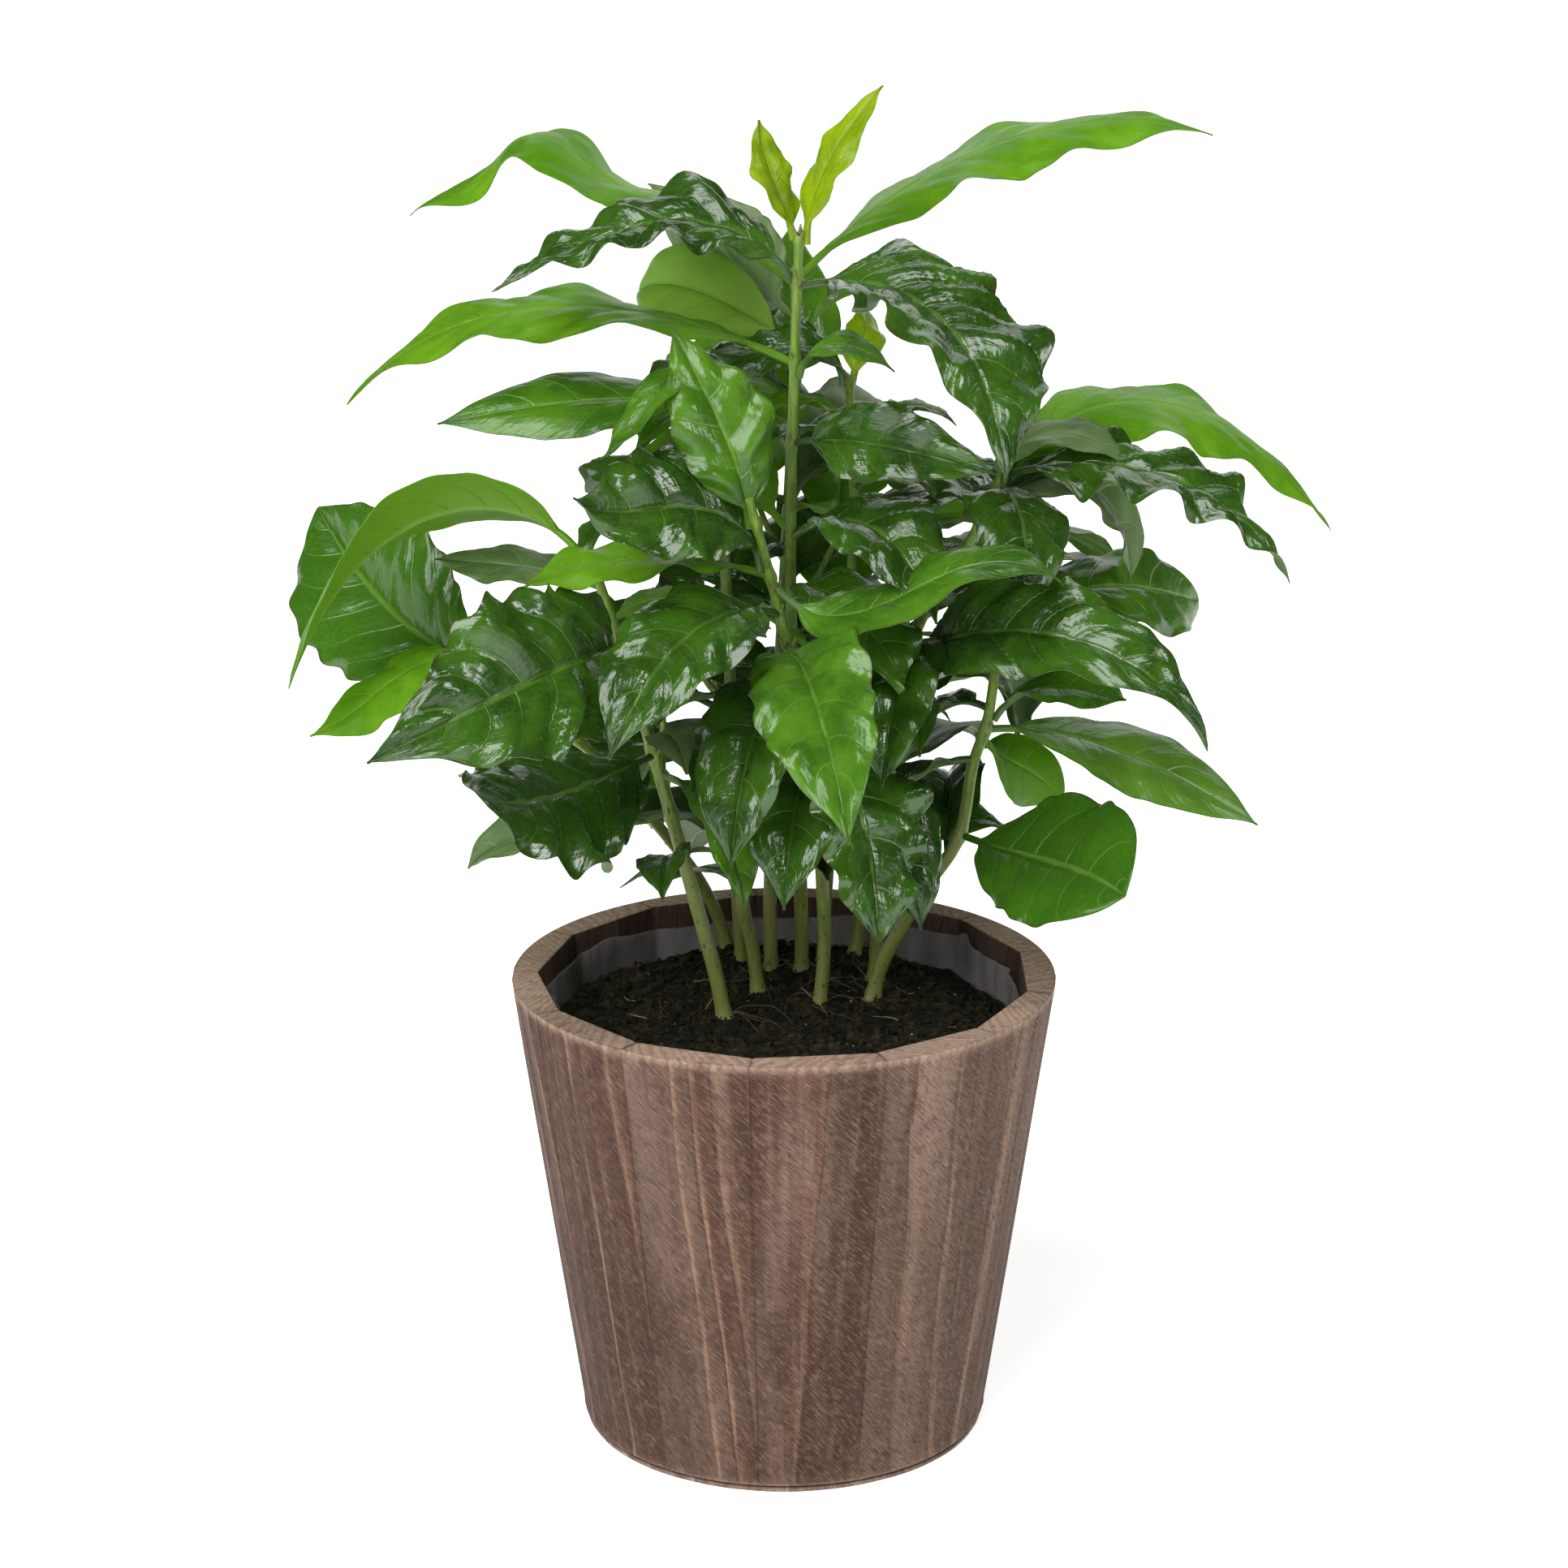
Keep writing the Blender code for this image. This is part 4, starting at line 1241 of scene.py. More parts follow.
# The numbers that come first in each leaf are its height, azimuth, length, width, rise, level and
# droop.
LEAVES = {
    "stem_main": [
        Leaf("young_left", Tone.YOUNG, Surface.TENDER, 333, 150, 31, 15, 75, 65, 90,
             roll=10, twist=40, fold=5, phase=0.1),
        Leaf("young_right", Tone.YOUNG, Surface.TENDER, 332, 5, 45, 14, 90, 60, 50,
             sweep=5, roll=-30, twist=-25, fold=-5, phase=0.6),
        Leaf("dark_left", Tone.DARK, Surface.CRISPED, 322, 180, 87, 31, 60, -10, -20,
             sweep=25, roll=15, twist=-50, fold=5, phase=0.3),
        Leaf("dark_right", Tone.DARK, Surface.CRISPED, 320, 330, 103, 46, 15, -25, -50,
             sweep=-55, roll=5, twist=60, fold=10, phase=0.55),
        Leaf("long_left", Tone.BRIGHT, Surface.WAVY, 300, 175, 131, 35, 25, -5, -50,
             sweep=-10, roll=10, twist=35, fold=-5, phase=0.2),
        Leaf("inner_right", Tone.DARK, Surface.QUILTED, 278, 320, 60, 22, 15, -5, -10,
             sweep=20, roll=-70, twist=40, fold=20, phase=0.8),
    ],
    "stem_back": [
        Leaf("top_right", Tone.BRIGHT, Surface.WAVY, 319, 40, 127, 41, 35, 20, -15,
             sweep=-60, roll=-5, twist=-40, fold=-10, phase=0.4),
        Leaf("top_left", Tone.BRIGHT, Surface.WAVY, 318, 155, 123, 36, 30, 20, -55,
             sweep=25, roll=5, twist=30, fold=-10, phase=0.75,
             bends=(Bend(0.35, 0.1, -18), Bend(0.56, 0.09, 26), Bend(0.75, 0.09, -38), Bend(0.93, 0.08, 20))),
        # Painted light: lightened well past its tone, standing in for the glow of light shining through it
        # from behind.
        Leaf("back_round", Tone.BRIGHT, Surface.SMOOTH, 300, 165, 60, 24, 35, 10, -25,
             sweep=-50, roll=65, twist=-5, fold=14, phase=0.1, blunt=0.6, tone_and_painted_light=0.8),
        # Painted light: lightened, standing in for light that the leaves above keep off it.
        Leaf("back_dull", Tone.DULL, Surface.SOFT, 308, 125, 69, 30, 15, 30, 15,
             sweep=10, roll=65, twist=-60, fold=-20, phase=0.5, tone_and_painted_light=0.5),
        Leaf("back_upright", Tone.MID, Surface.SMOOTH, 290, 85, 54, 24, 0, 60, 30,
             sweep=15, roll=-20, twist=-55, fold=5, phase=0.9),
    ],
    "stem_shoot": [
        Leaf("middle_dark", Tone.DARK, Surface.QUILTED, 292, 190, 42, 20, 90, -10, 25,
             sweep=-40, roll=30, twist=60, phase=0.35),
        Leaf("shoot_up", Tone.YOUNG, Surface.TENDER, 292, 60, 31, 12, 70, 25, 25,
             sweep=40, roll=-25, twist=-60, phase=0.15),
    ],
    "stem_left_back": [
        Leaf("left_gloss", Tone.MID, Surface.SMOOTH, 289, 175, 73, 26, 5, -5, -10,
             sweep=15, roll=30, twist=35, fold=-5, phase=0.45),
        Leaf("left_narrow", Tone.MID, Surface.SOFT, 296, 225, 56, 12, 40, -35, 15,
             sweep=20, roll=-5, twist=-60, fold=10, phase=0.7),
    ],
    "stem_left_front": [
        Leaf("left_arch", Tone.BRIGHT, Surface.SMOOTH, 249, 160, 106, 40, 50, -30, -65,
             sweep=55, roll=-28, twist=26, fold=10, phase=0.25, tone_and_painted_light=-0.6),
        Leaf("left_broad", Tone.DARK, Surface.CRISPED, 223, 265, 110, 46, 20, -5, -20,
             sweep=-60, roll=55, twist=-15, fold=10, phase=0.05),
        Leaf("left_low", Tone.DARK, Surface.CRISPED, 194, 240, 86, 44, 0, 5, 25,
             sweep=5, roll=35, fold=-15, phase=0.6, blunt=0.7, tone_and_painted_light=-0.6),
        Leaf("left_lowest", Tone.DULL, Surface.SOFT, 177, 185, 59, 28, -20, -10, -50,
             sweep=-30, roll=25, twist=60, fold=30, phase=0.85),
    ],
    "stem_left_far": [
        Leaf("far_left_pale", Tone.MID, Surface.BROAD, 215, 135, 97, 48, -5, 20, 30,
             sweep=-15, roll=55, fold=15, phase=0.3, blunt=0.45, tone_and_painted_light=-0.9),
        Leaf("far_left_low", Tone.BRIGHT, Surface.SOFT, 216, 175, 55, 24, 30, -35, -15,
             sweep=20, roll=25, twist=35, fold=-10, phase=0.5),
    ],
    "stem_front": [
        Leaf("front_upright", Tone.MID, Surface.QUILTED, 261, 165, 55, 27, 85, 63, 57,
             sweep=-20, roll=45, twist=-30, phase=0.2),
        Leaf("front_right_light", Tone.MID, Surface.SOFT, 242, 325, 84, 26, -40, 30, -40,
             sweep=25, roll=-25, twist=5, phase=0.65),
        Leaf("front_left_dark", Tone.DARK, Surface.QUILTED, 249, 195, 69, 36, 85, 5, 40,
             sweep=40, roll=50, twist=35, fold=10, phase=0.4),
        Leaf("front_left_broad", Tone.DARK, Surface.QUILTED, 236, 230, 80, 34, 20, -20, -50,
             sweep=10, roll=15, fold=5, phase=0.9),
        Leaf("front_right_broad", Tone.MID, Surface.QUILTED, 226, 280, 82, 35, 5, -25, -55,
             sweep=5, roll=-20, fold=20, phase=0.1),
        Leaf("front_low", Tone.DARK, Surface.BROAD, 216, 245, 62, 30, 5, -50, -75,
             sweep=5, roll=10, fold=25, phase=0.55),
        Leaf("front_lowest", Tone.DARK, Surface.BROAD, 194, 260, 48, 25, -15, -50, -75,
             sweep=-5, twist=-5, fold=15, phase=0.75),
    ],
    "stem_right": [
        Leaf("far_right", Tone.BRIGHT, Surface.WAVY, 265, 35, 120, 37, 60, -15, -55,
             sweep=-35, roll=-15, fold=-10, phase=0.35),
        Leaf("right_wavy", Tone.DARK, Surface.CRISPED, 270, 335, 87, 32, 20, -15, -60,
             sweep=5, roll=-10, twist=45, phase=0.15),
        Leaf("right_hanging", Tone.DULL, Surface.SOFT, 257, 20, 67, 34, 65, -30, -90,
             sweep=10, roll=-35, twist=-60, fold=15, phase=0.6),
        Leaf("right_near", Tone.DARK, Surface.QUILTED, 258, 300, 58, 28, 90, -35, 20,
             sweep=-40, roll=10, twist=20, fold=-15, phase=0.8),
        Leaf("right_broad", Tone.DARK, Surface.QUILTED, 219, 295, 110, 32, 25, 0, -70,
             sweep=60, roll=-40, twist=60, fold=10, phase=0.45),
    ],
    "stem_right_low": [
        Leaf("right_round", Tone.MID, Surface.SOFT, 228, 15, 77, 28, 35, -10, -15,
             sweep=45, roll=-40, twist=-60, fold=-5, phase=0.25, blunt=0.8),
        # Painted sheen: lightened, standing in for the sheen on its upper face.
        Leaf("right_long", Tone.MID, Surface.SMOOTH, 199, 15, 79, 29, 0, -20, -20,
             sweep=-55, roll=-20, twist=-25, fold=-5, phase=0.95, tone_and_painted_light=0.3),
        Leaf("right_pale", Tone.BRIGHT, Surface.SMOOTH, 195, 50, 40, 21, -45, -30, -60,
             sweep=-15, roll=-70, twist=-60, fold=-15, phase=0.5, blunt=0.6, tone_and_painted_light=-0.9),
        Leaf("right_lowest", Tone.MID, Surface.SOFT, 167, 316, 68, 43, -5, 4, -6,
             sweep=-22, roll=-42, twist=-14, fold=12, phase=0.15, blunt=0.85, tone_and_painted_light=-0.8),
    ],
    "stem_rear_left": [
        Leaf("rear_high_left", Tone.DARK, Surface.QUILTED, 249, 110, 84, 32, 40, -20, -50,
             roll=10, phase=0.3),
        Leaf("rear_centre", Tone.MID, Surface.QUILTED, 224, 60, 94, 38, 15, -35, -50,
             sweep=-5, roll=-10, twist=5, fold=-10, phase=0.6),
        Leaf("rear_low_left", Tone.DARK, Surface.BROAD, 204, 150, 92, 34, 15, -25, -45,
             roll=-5, fold=5, phase=0.8),
    ],
    "stem_rear_right": [
        Leaf("rear_high_right", Tone.MID, Surface.SOFT, 242, 70, 88, 33, 45, -10, -45,
             sweep=-10, roll=-15, fold=5, phase=0.2),
        Leaf("rear_low_right", Tone.DARK, Surface.QUILTED, 203, 20, 92, 34, 25, -5, -45,
             fold=5, phase=0.5),
    ],
}

INNER = {
    "stem_main": [
        Leaf("shoot_right_point", Tone.MID, Surface.SOFT, 297, 317, 34, 11, 74, 0, -35,
             sweep=22, roll=-24, twist=18),
        Leaf("centre_right", Tone.DARK, Surface.QUILTED, 252, 318, 66, 30, 35, -15, -55,
             sweep=-20, roll=-12, fold=8, phase=0.35),
        Leaf("centre_low_right", Tone.MID, Surface.QUILTED, 236, 300, 60, 27, 20, -30, -60,
             sweep=25, roll=-10, fold=10, phase=0.6),
    ],
    "stem_shoot": [
        Leaf("shoot_low_right", Tone.DARK, Surface.QUILTED, 262, 335, 58, 26, 30, -10, -50,
             sweep=-25, roll=-15, fold=8, phase=0.1),
    ],
    "stem_right": [
        Leaf("right_low_front", Tone.DARK, Surface.QUILTED, 222, 262, 56, 26, 20, -40, -65,
             sweep=-10, roll=-8, fold=10, phase=0.5),
        Leaf("right_back_dull", Tone.DULL, Surface.SOFT, 265, 333, 50, 16, 100, 6, -52,
             sweep=23, roll=-21, phase=0.3),
    ],
    "stem_left_front": [
        Leaf("left_grey_small", Tone.DULL, Surface.SOFT, 241, 163, 47, 17, 16, 2, -2,
             sweep=-8, roll=24, twist=38),
        Leaf("low_left_hanging", Tone.MID, Surface.SOFT, 188, 335, 44, 21, -10, -55, -75,
             sweep=-30, fold=15, phase=0.4),
    ],
    "stem_front": [
        Leaf("left_light_wavy", Tone.BRIGHT, Surface.WAVY, 247, 187, 65, 23, 19, 0, -20,
             sweep=14, roll=13, twist=54),
        Leaf("low_front_hanging", Tone.DARK, Surface.CRISPED, 204, 310, 66, 33, -20, -60, -78,
             sweep=-20, fold=18, phase=0.3, blunt=0.4),
        Leaf("low_side_hanging", Tone.DARK, Surface.BROAD, 190, 345, 56, 27, -5, -60, -75,
             sweep=-30, roll=-15, fold=15, phase=0.7),
    ],
    "stem_right_low": [
        Leaf("right_mid_small", Tone.MID, Surface.SOFT, 203, 349, 49, 18, 60, 5, 14,
             sweep=-60, roll=-29, twist=-60, fold=13),
        Leaf("right_mid_hanging", Tone.DARK, Surface.BROAD, 205, 130, 52, 25, 10, -55, -80,
             sweep=40, roll=10, fold=10, phase=0.6),
        Leaf("right_mid_back", Tone.DARK, Surface.QUILTED, 214, 85, 58, 27, 20, -40, -75,
             sweep=-20, roll=-25, fold=10, phase=0.2),
        Leaf("right_inner_dark", Tone.DARK, Surface.BROAD, 190, 190, 50, 26, 0, -50, -75,
             sweep=30, roll=-20, fold=12, phase=0.9),
    ],
}


@dataclass
class InnerGrowth:
    """Leaves and side twigs that fill the crown, grown on from the stems by a seeded rule.

    Leaves leave a stem in pairs, each pair turned by a quarter from the one below. A leaf is kept
    where it has room among the others and stays inside the crown's outline, which lists x and z
    as seen from the front through the plant's middle. Sky windows are places to leave open, each
    an x, a z and a radius.
    """

    seed: int = 23
    spacing: float = 11.0
    jitter: float = 12.0
    lowest: float = 150.0
    rear_from: float = 60.0
    cell: float = 1.9
    layers: int = 9
    twig_spacing: float = 34.0
    shortest: float = 32.0
    least_inside: float = 0.75
    eye: Point = (0.0, -955.0, 465.0)
    front_left: float = -42.0
    front_right: float = 44.0
    front_top: float = 236.0
    front_limit: float = -66.0
    side_limit: float = 4.0
    outline: tuple[tuple[float, float], ...] = (
        (-34, 326), (-12, 336), (8, 334), (14, 322), (38, 322), (66, 302), (72, 286), (74, 266), (96, 256),
        (97, 216), (80, 190), (64, 170), (52, 150), (-44, 150), (-74, 176), (-98, 196), (-112, 214),
        (-104, 232), (-60, 236), (-54, 262), (-56, 282), (-38, 297),
    )
    sky: tuple[Point, ...] = ((32, 299, 9), (73, 276, 5), (-81, 238, 6))
    kinds: tuple[tuple[Tone, Surface], ...] = (
        (Tone.DARK, Surface.QUILTED), (Tone.MID, Surface.SOFT),
        (Tone.BRIGHT, Surface.WAVY), (Tone.DULL, Surface.SOFT),
    )
    odds: tuple[float, ...] = (0.42, 0.33, 0.15, 0.1)
    low_corner: Point = (-135.0, -94.0, 128.0)
    high_corner: Point = (150.0, 128.0, 360.0)

    def __post_init__(self) -> None:
        """Start with an empty crown."""
        self.rng = np.random.default_rng(self.seed)
        size = [math.ceil((b - a) / self.cell) + 3 for a, b in zip(self.low_corner, self.high_corner)]
        self.taken = np.zeros(size, bool)
        self.leaves: dict[Tone, list[tuple[Leaf, Stem]]] = {tone: [] for tone in Tone}
        self.twigs: list[Stem] = []

    def cells(self, points: np.ndarray) -> tuple[np.ndarray, ...]:
        """The cells of the crown's room that hold some points."""
        found = np.floor((points.reshape(-1, 3) - self.low_corner) / self.cell).astype(int) + 1
        return tuple(np.clip(found, 1, np.array(self.taken.shape) - 2).T)

    def occupy(self, points: np.ndarray) -> None:
        """Mark the room round some points as taken.

        Args:
            points: the points, each of which takes its own cell and the 26 round it.
        """
        x, y, z = self.cells(points)
        for i, j, k in product((-1, 0, 1), repeat=3):
            self.taken[x + i, y + j, z + k] = True

    def surface(self, leaf: Leaf, stem: Stem) -> np.ndarray:
        """Points over a leaf's middle surface."""
        return leaf.grid(leaf.base(stem))[0]

    def spine(self, leaf: Leaf, stem: Stem) -> np.ndarray:
        """A few points along a leaf's midrib."""
        return leaf.midrib(leaf.base(stem), np.linspace(0.1, 1.0, 9))[0]

    def is_inside(self, points: np.ndarray) -> bool:
        """Tell whether a leaf stays in the box and in the outline, clear of the sky and the front.

        Args:
            points: points over the leaf.

        Returns:
            True if it does.
        """
        flat = points.reshape(-1, 3)
        if (flat < self.low_corner).any() or (flat > self.high_corner).any():
            return False
        share = -self.eye[1] / (flat[:, 1] - self.eye[1])
        x = self.eye[0] + (flat[:, 0] - self.eye[0]) * share
        z = self.eye[2] + (flat[:, 2] - self.eye[2]) * share
        inside = np.zeros(len(x), bool)
        corners = self.outline
        for (x0, z0), (x1, z1) in zip(corners, corners[1:] + corners[:1]):
            if z0 == z1:
                continue
            crosses = ((z0 > z) != (z1 > z)) & (x < (x1 - x0) * (z - z0) / (z1 - z0) + x0)
            inside ^= crosses
        is_seen = flat[:, 1] < self.rear_from
        if not (inside | ~is_seen).all() or inside.mean() < self.least_inside:
            return False
        for middle_x, middle_z, radius in self.sky:
            if (np.hypot(x - middle_x, z - middle_z) < radius).any():
                return False
        is_front = (x > self.front_left) & (x < self.front_right) & (z < self.front_top)
        limit = np.where(is_front, self.front_limit, self.side_limit)
        return bool((flat[:, 1] > limit).all())

    def try_leaf(self, stem: Stem, height: float, azimuth: float, own_room: bool) -> bool:
        """Grow one leaf if some form of it fits.

        Args:
            stem: the stem or twig that bears it.
            height: where it leaves the stem.
            azimuth: the way that it sets off, in degrees.
            own_room: True where the leaf's foot is clear of other leaves too.

        Returns:
            True if the leaf was grown.
        """
        rng = self.rng
        rearward = max(0.0, math.sin(math.radians(azimuth)))
        full = rng.uniform(46, 64) + 34 * rearward
        tone, surface = self.kinds[rng.choice(len(self.kinds), p=self.odds)]
        for attempt in range(12):
            length = max(self.shortest, full * (1 - 0.05 * attempt))
            leaf = Leaf(
                "inner", tone, surface, height, azimuth + rng.uniform(-26, 26), length,
                length * rng.uniform(0.36, 0.46),
                rng.uniform(10, 60), rng.uniform(-30, 15), rng.uniform(-70, -15),
                sweep=rng.uniform(-30, 30), roll=rng.uniform(-25, 25), twist=rng.uniform(-35, 35),
                fold=rng.uniform(0, 16), phase=rng.uniform(0, 1), tone_and_painted_light=rng.uniform(-0.6, 0.3), station=2.1,
            )
            spine = self.spine(leaf, stem)
            if not self.is_inside(spine) or self.taken[self.cells(spine[3:])].any():
                continue
            points = self.surface(leaf, stem)
            outer = points[len(points) // (8 if own_room else 4):]
            if self.is_inside(points[1:]) and not self.taken[self.cells(outer)].any():
                self.leaves[tone].append((leaf, stem))
                self.occupy(points)
                return True
        return False

    def grow_twig(self, stem: Stem, height: float, azimuth: float, number: int) -> bool:
        """Grow a short side twig with a pair of leaves at its end, if there is room.

        Args:
            stem: the stem that bears it.
            height: where it leaves the stem.
            azimuth: the way that it sets off, in degrees.
            number: its number, for its name.

        Returns:
            True if it grew.
        """
        rng = self.rng
        start = stem.centre(height)
        turn = math.radians(azimuth)
        way = np.array([math.cos(turn), math.sin(turn), 0.0])
        run, rise = rng.uniform(10, 20), rng.uniform(14, 26)
        points = [start, start + way * run * 0.45 + (0, 0, rise * 0.3), start + way * run + (0, 0, rise)]
        twig = Stem(f"twig_{number}", 1.15, 0.8, [tuple(point) for point in points], [start[2] + rise])
        if not self.is_inside(twig.line) or self.taken[self.cells(twig.line[len(twig.line) // 2:])].any():
            return False
        top = float(twig.line[-1, 2]) - 0.6
        grown = [self.try_leaf(twig, top, azimuth + side, False) for side in (75, -75)]
        if any(grown):
            self.twigs.append(twig)
            self.occupy(twig.line)
        return any(grown)

    def grow(self, stems: dict[str, Stem], leaves: dict[str, list[Leaf]]) -> None:
        """Fill the crown round the leaves that it already has.

        Args:
            stems: the stems by name.
            leaves: the leaves of each stem.
        """
        for name, stem in stems.items():
            self.occupy(stem.line)
            for leaf in leaves[name] + INNER.get(name, []):
                self.occupy(self.surface(leaf, stem)[4:])
            for leaf in INNER.get(name, []):
                self.leaves[leaf.tone].append((leaf, stem))
        for layer in range(self.layers):
            for name, stem in stems.items():
                quarter = self.rng.uniform(0, 90)
                height = self.lowest + self.rng.uniform(0, self.spacing)
                next_twig = self.lowest + self.twig_spacing * self.rng.uniform(0, 1)
                while height < stem.line[-1, 2] - 9:
                    quarter += 90 + self.rng.uniform(-self.jitter, self.jitter)
                    for side in (0, 180):
                        self.try_leaf(stem, height, quarter + side, True)
                    if layer > 0 and height > next_twig:
                        if self.grow_twig(stem, height + 4, quarter + 90, len(self.twigs)):
                            next_twig = height + self.twig_spacing
                    height += self.spacing * self.rng.uniform(0.8, 1.3)

    def build(self) -> None:
        """Join the leaves by kind, and the twigs."""
        nodes = ["foliage_rear", "foliage_left", "foliage_right"]
        for tone, grown in self.leaves.items():
            if not grown:
                continue
            shell = Shell()
            for leaf, stem in grown:
                leaf.add_to(shell, stem)
            name = f"inner_{tone.name.lower()}"
            finish_piece(shell.make(name, tone.value.materials(), 62.0), nodes)
            log.info("%s holds %d leaves", name, len(grown))
        shell = Shell()
        for twig in self.twigs:
            twig.add_to(shell)
        if self.twigs:
            finish_piece(shell.make("side_twigs", [GREEN_STEM.material()]), nodes)


@dataclass
class Buds:
    """Small green buds and scales beside the leaf stalks."""

    length: float = 2.6
    radius: float = 0.75
    point: float = 0.12
    lean: float = 0.55

    def build(self, stems: dict[str, Stem], leaves: dict[str, list[Leaf]]) -> None:
        """Make them all as one piece.

        Args:
            stems: the stems by name.
            leaves: the leaves of each stem.
        """
        shell = Shell()
        for name, stem in stems.items():
            for leaf in leaves[name]:
                for side in (-68, 68):
                    turn = math.radians(leaf.azimuth + side)
                    way = np.array([math.cos(turn), math.sin(turn), 0.0])
                    foot = stem.centre(leaf.height) + way * float(stem.radius(leaf.height)) * 0.8
                    reach = way * self.length * self.lean + np.array([0.0, 0.0, self.length])
                    line = np.array([foot, foot + reach * 0.4, foot + reach * 0.75, foot + reach])
                    add_tube(shell, line, np.linspace(self.radius, self.point, len(line)), 8)
        finish_piece(shell.make("bud_scales", [BUD.material()]), [])


@dataclass
class Clump:
    """The stems and every leaf that has a solid of its own."""

    stems: dict[str, Stem] = field(default_factory=lambda: STEMS)
    leaves: dict[str, list[Leaf]] = field(default_factory=lambda: LEAVES)

    def build(self) -> None:
        """Make each stem, then its leaves."""
        for name, stem in self.stems.items():
            finish_piece(stem.build(), [name])
            for leaf in self.leaves[name]:
                finish_piece(leaf.build(stem), [f"leaf_{leaf.name}"])
        Buds().build(self.stems, self.leaves)
        growth = InnerGrowth()
        growth.grow(self.stems, self.leaves)
        growth.build()


# Pot


@dataclass
class StavedPot:
    """A tapering round pot, turned outside and flat-sided inside, of glued staves."""

    staves: int = 13
    height: float = 130.0
    rim_radius: float = 75.0
    foot_radius: float = 57.0
    rim_corner: float = 68.0
    foot_corner: float = 49.5
    skirt: float = 1.6
    edge_round: float = 1.6
    rim_round: float = 0.5
    columns: int = 60
    board_radius: float = 56.2
    joint: float = 0.03
    seed: int = 11
    tones: tuple[float, ...] = (-0.22, -0.35, -0.15, -0.05, 0.3, 0.22, 0.1, -0.1, 0.15, 0.0, -0.15, 0.1, -0.1)
    map_radius: float = 66.0

    def outer_radius(self, height: np.ndarray) -> np.ndarray:
        """The turned wall's radius at some heights."""
        low = self.skirt + self.edge_round * 2
        share = (height - low) / (self.height - low)
        return self.foot_radius + (self.rim_radius - self.foot_radius) * np.clip(share, 0, 1)

    def inner_radius(self, height: np.ndarray) -> np.ndarray:
        """The radius of the inner corners at some heights."""
        share = (height - self.skirt) / (self.height - self.skirt)
        return self.foot_corner + (self.rim_corner - self.foot_corner) * share

    def flat_side(self, corner: np.ndarray | float, turns: np.ndarray) -> np.ndarray:
        """The radius of the flat-sided inside at some turns, from the radius of its corners."""
        half = math.pi / self.staves
        return corner * math.cos(half) / np.cos((turns - math.pi) % (2 * half) - half)

    def profile(self) -> tuple[np.ndarray, np.ndarray, np.ndarray]:
        """Walk round a stave's section, up outside, over the rim and down inside.

        Returns:
            For each step its height, its share from the outer face to the inner one, and how far
            the edge rounding pulls it in.
        """
        steps = []
        for angle in np.linspace(0, math.pi / 2, 5)[:-1]:
            height = self.skirt + self.edge_round * (1 - math.sin(angle + 1e-9))
            steps.append((height, 0.0, self.edge_round * (1 - math.cos(angle))))
        steps.reverse()
        low = self.skirt + self.edge_round
        for height in np.linspace(low, self.height - self.rim_round, 66)[1:]:
            steps.append((height, 0.0, 0.0))
        steps.append((self.height - 0.15 * self.rim_round, 0.0, 0.35 * self.rim_round))
        steps.append((self.height, 0.0, self.rim_round))
        for share in np.linspace(0.06, 0.96, 14):
            steps.append((self.height, share, 0.0))
        steps.append((self.height - 0.3, 1.0, 0.0))
        for height in np.linspace(self.height - 2, self.skirt, 24):
            steps.append((height, 1.0, 0.0))
        for share in np.linspace(1.0, 0.15, 4)[1:]:
            steps.append((self.skirt, share, 0.0))
        heights, shares, pulls = (np.array(part) for part in zip(*steps))
        return heights, shares, pulls

    def rings(self, points: np.ndarray, number: int, middle: float) -> np.ndarray:
        """Count growth rings at points of a stave that was sawn from a small log.

        Args:
            points: the places, in millimetres.
            number: the stave's number.
            middle: the azimuth of the stave's middle, in radians.

        Returns:
            The ring number at each place, with its fraction.
        """
        rng = np.random.default_rng(self.seed + number)
        across = points @ np.array([-math.sin(middle), math.cos(middle), 0.0])
        depth = points @ np.array([math.cos(middle), math.sin(middle), 0.0])
        high = points[..., 2]
        pith = rng.choice([-1.0, 1.0]) * rng.uniform(40, 85)
        level = 66 + rng.uniform(-14, 10)
        lean = rng.uniform(-0.06, 0.06)
        spacing = rng.uniform(8.0, 13.0)
        wander = 1.1 * np.sin(high / rng.uniform(36, 60) + number) + 0.35 * np.sin(high / 13 + 2 * number)
        away = np.hypot(across - pith - lean * high - wander, depth - level)
        return away / spacing + 0.42 * np.sin(away / 7.0 + number) + 0.7 * rng.uniform(0, 1)

    def wear_and_inner_shade(self, heights: np.ndarray, shares: np.ndarray) -> np.ndarray:
        """Say how worn each step of the section is, most on the rim, and mark the wall inside for painted
        shade.

        Args:
            heights: the steps' heights.
            shares: their shares from the outer face to the inner one.

        Returns:
            How worn each step is, and -0.6 inside, where shade is painted.
        """
        is_rim = (heights >= self.height - 0.3) & (shares > 0) & (shares < 1)
        near_rim = (shares == 0) * np.exp(-(((self.height - heights) / 1.6) ** 2)) * 0.6
        near_foot = (shares == 0) * np.exp(-(((heights - self.skirt) / 1.2) ** 2)) * 0.4
        worn = np.where(is_rim, 0.78, near_rim + near_foot)
        # Painted shade: the inner wall gets a negative number, which darkens it.
        return np.where(shares >= 1, -0.6, worn)

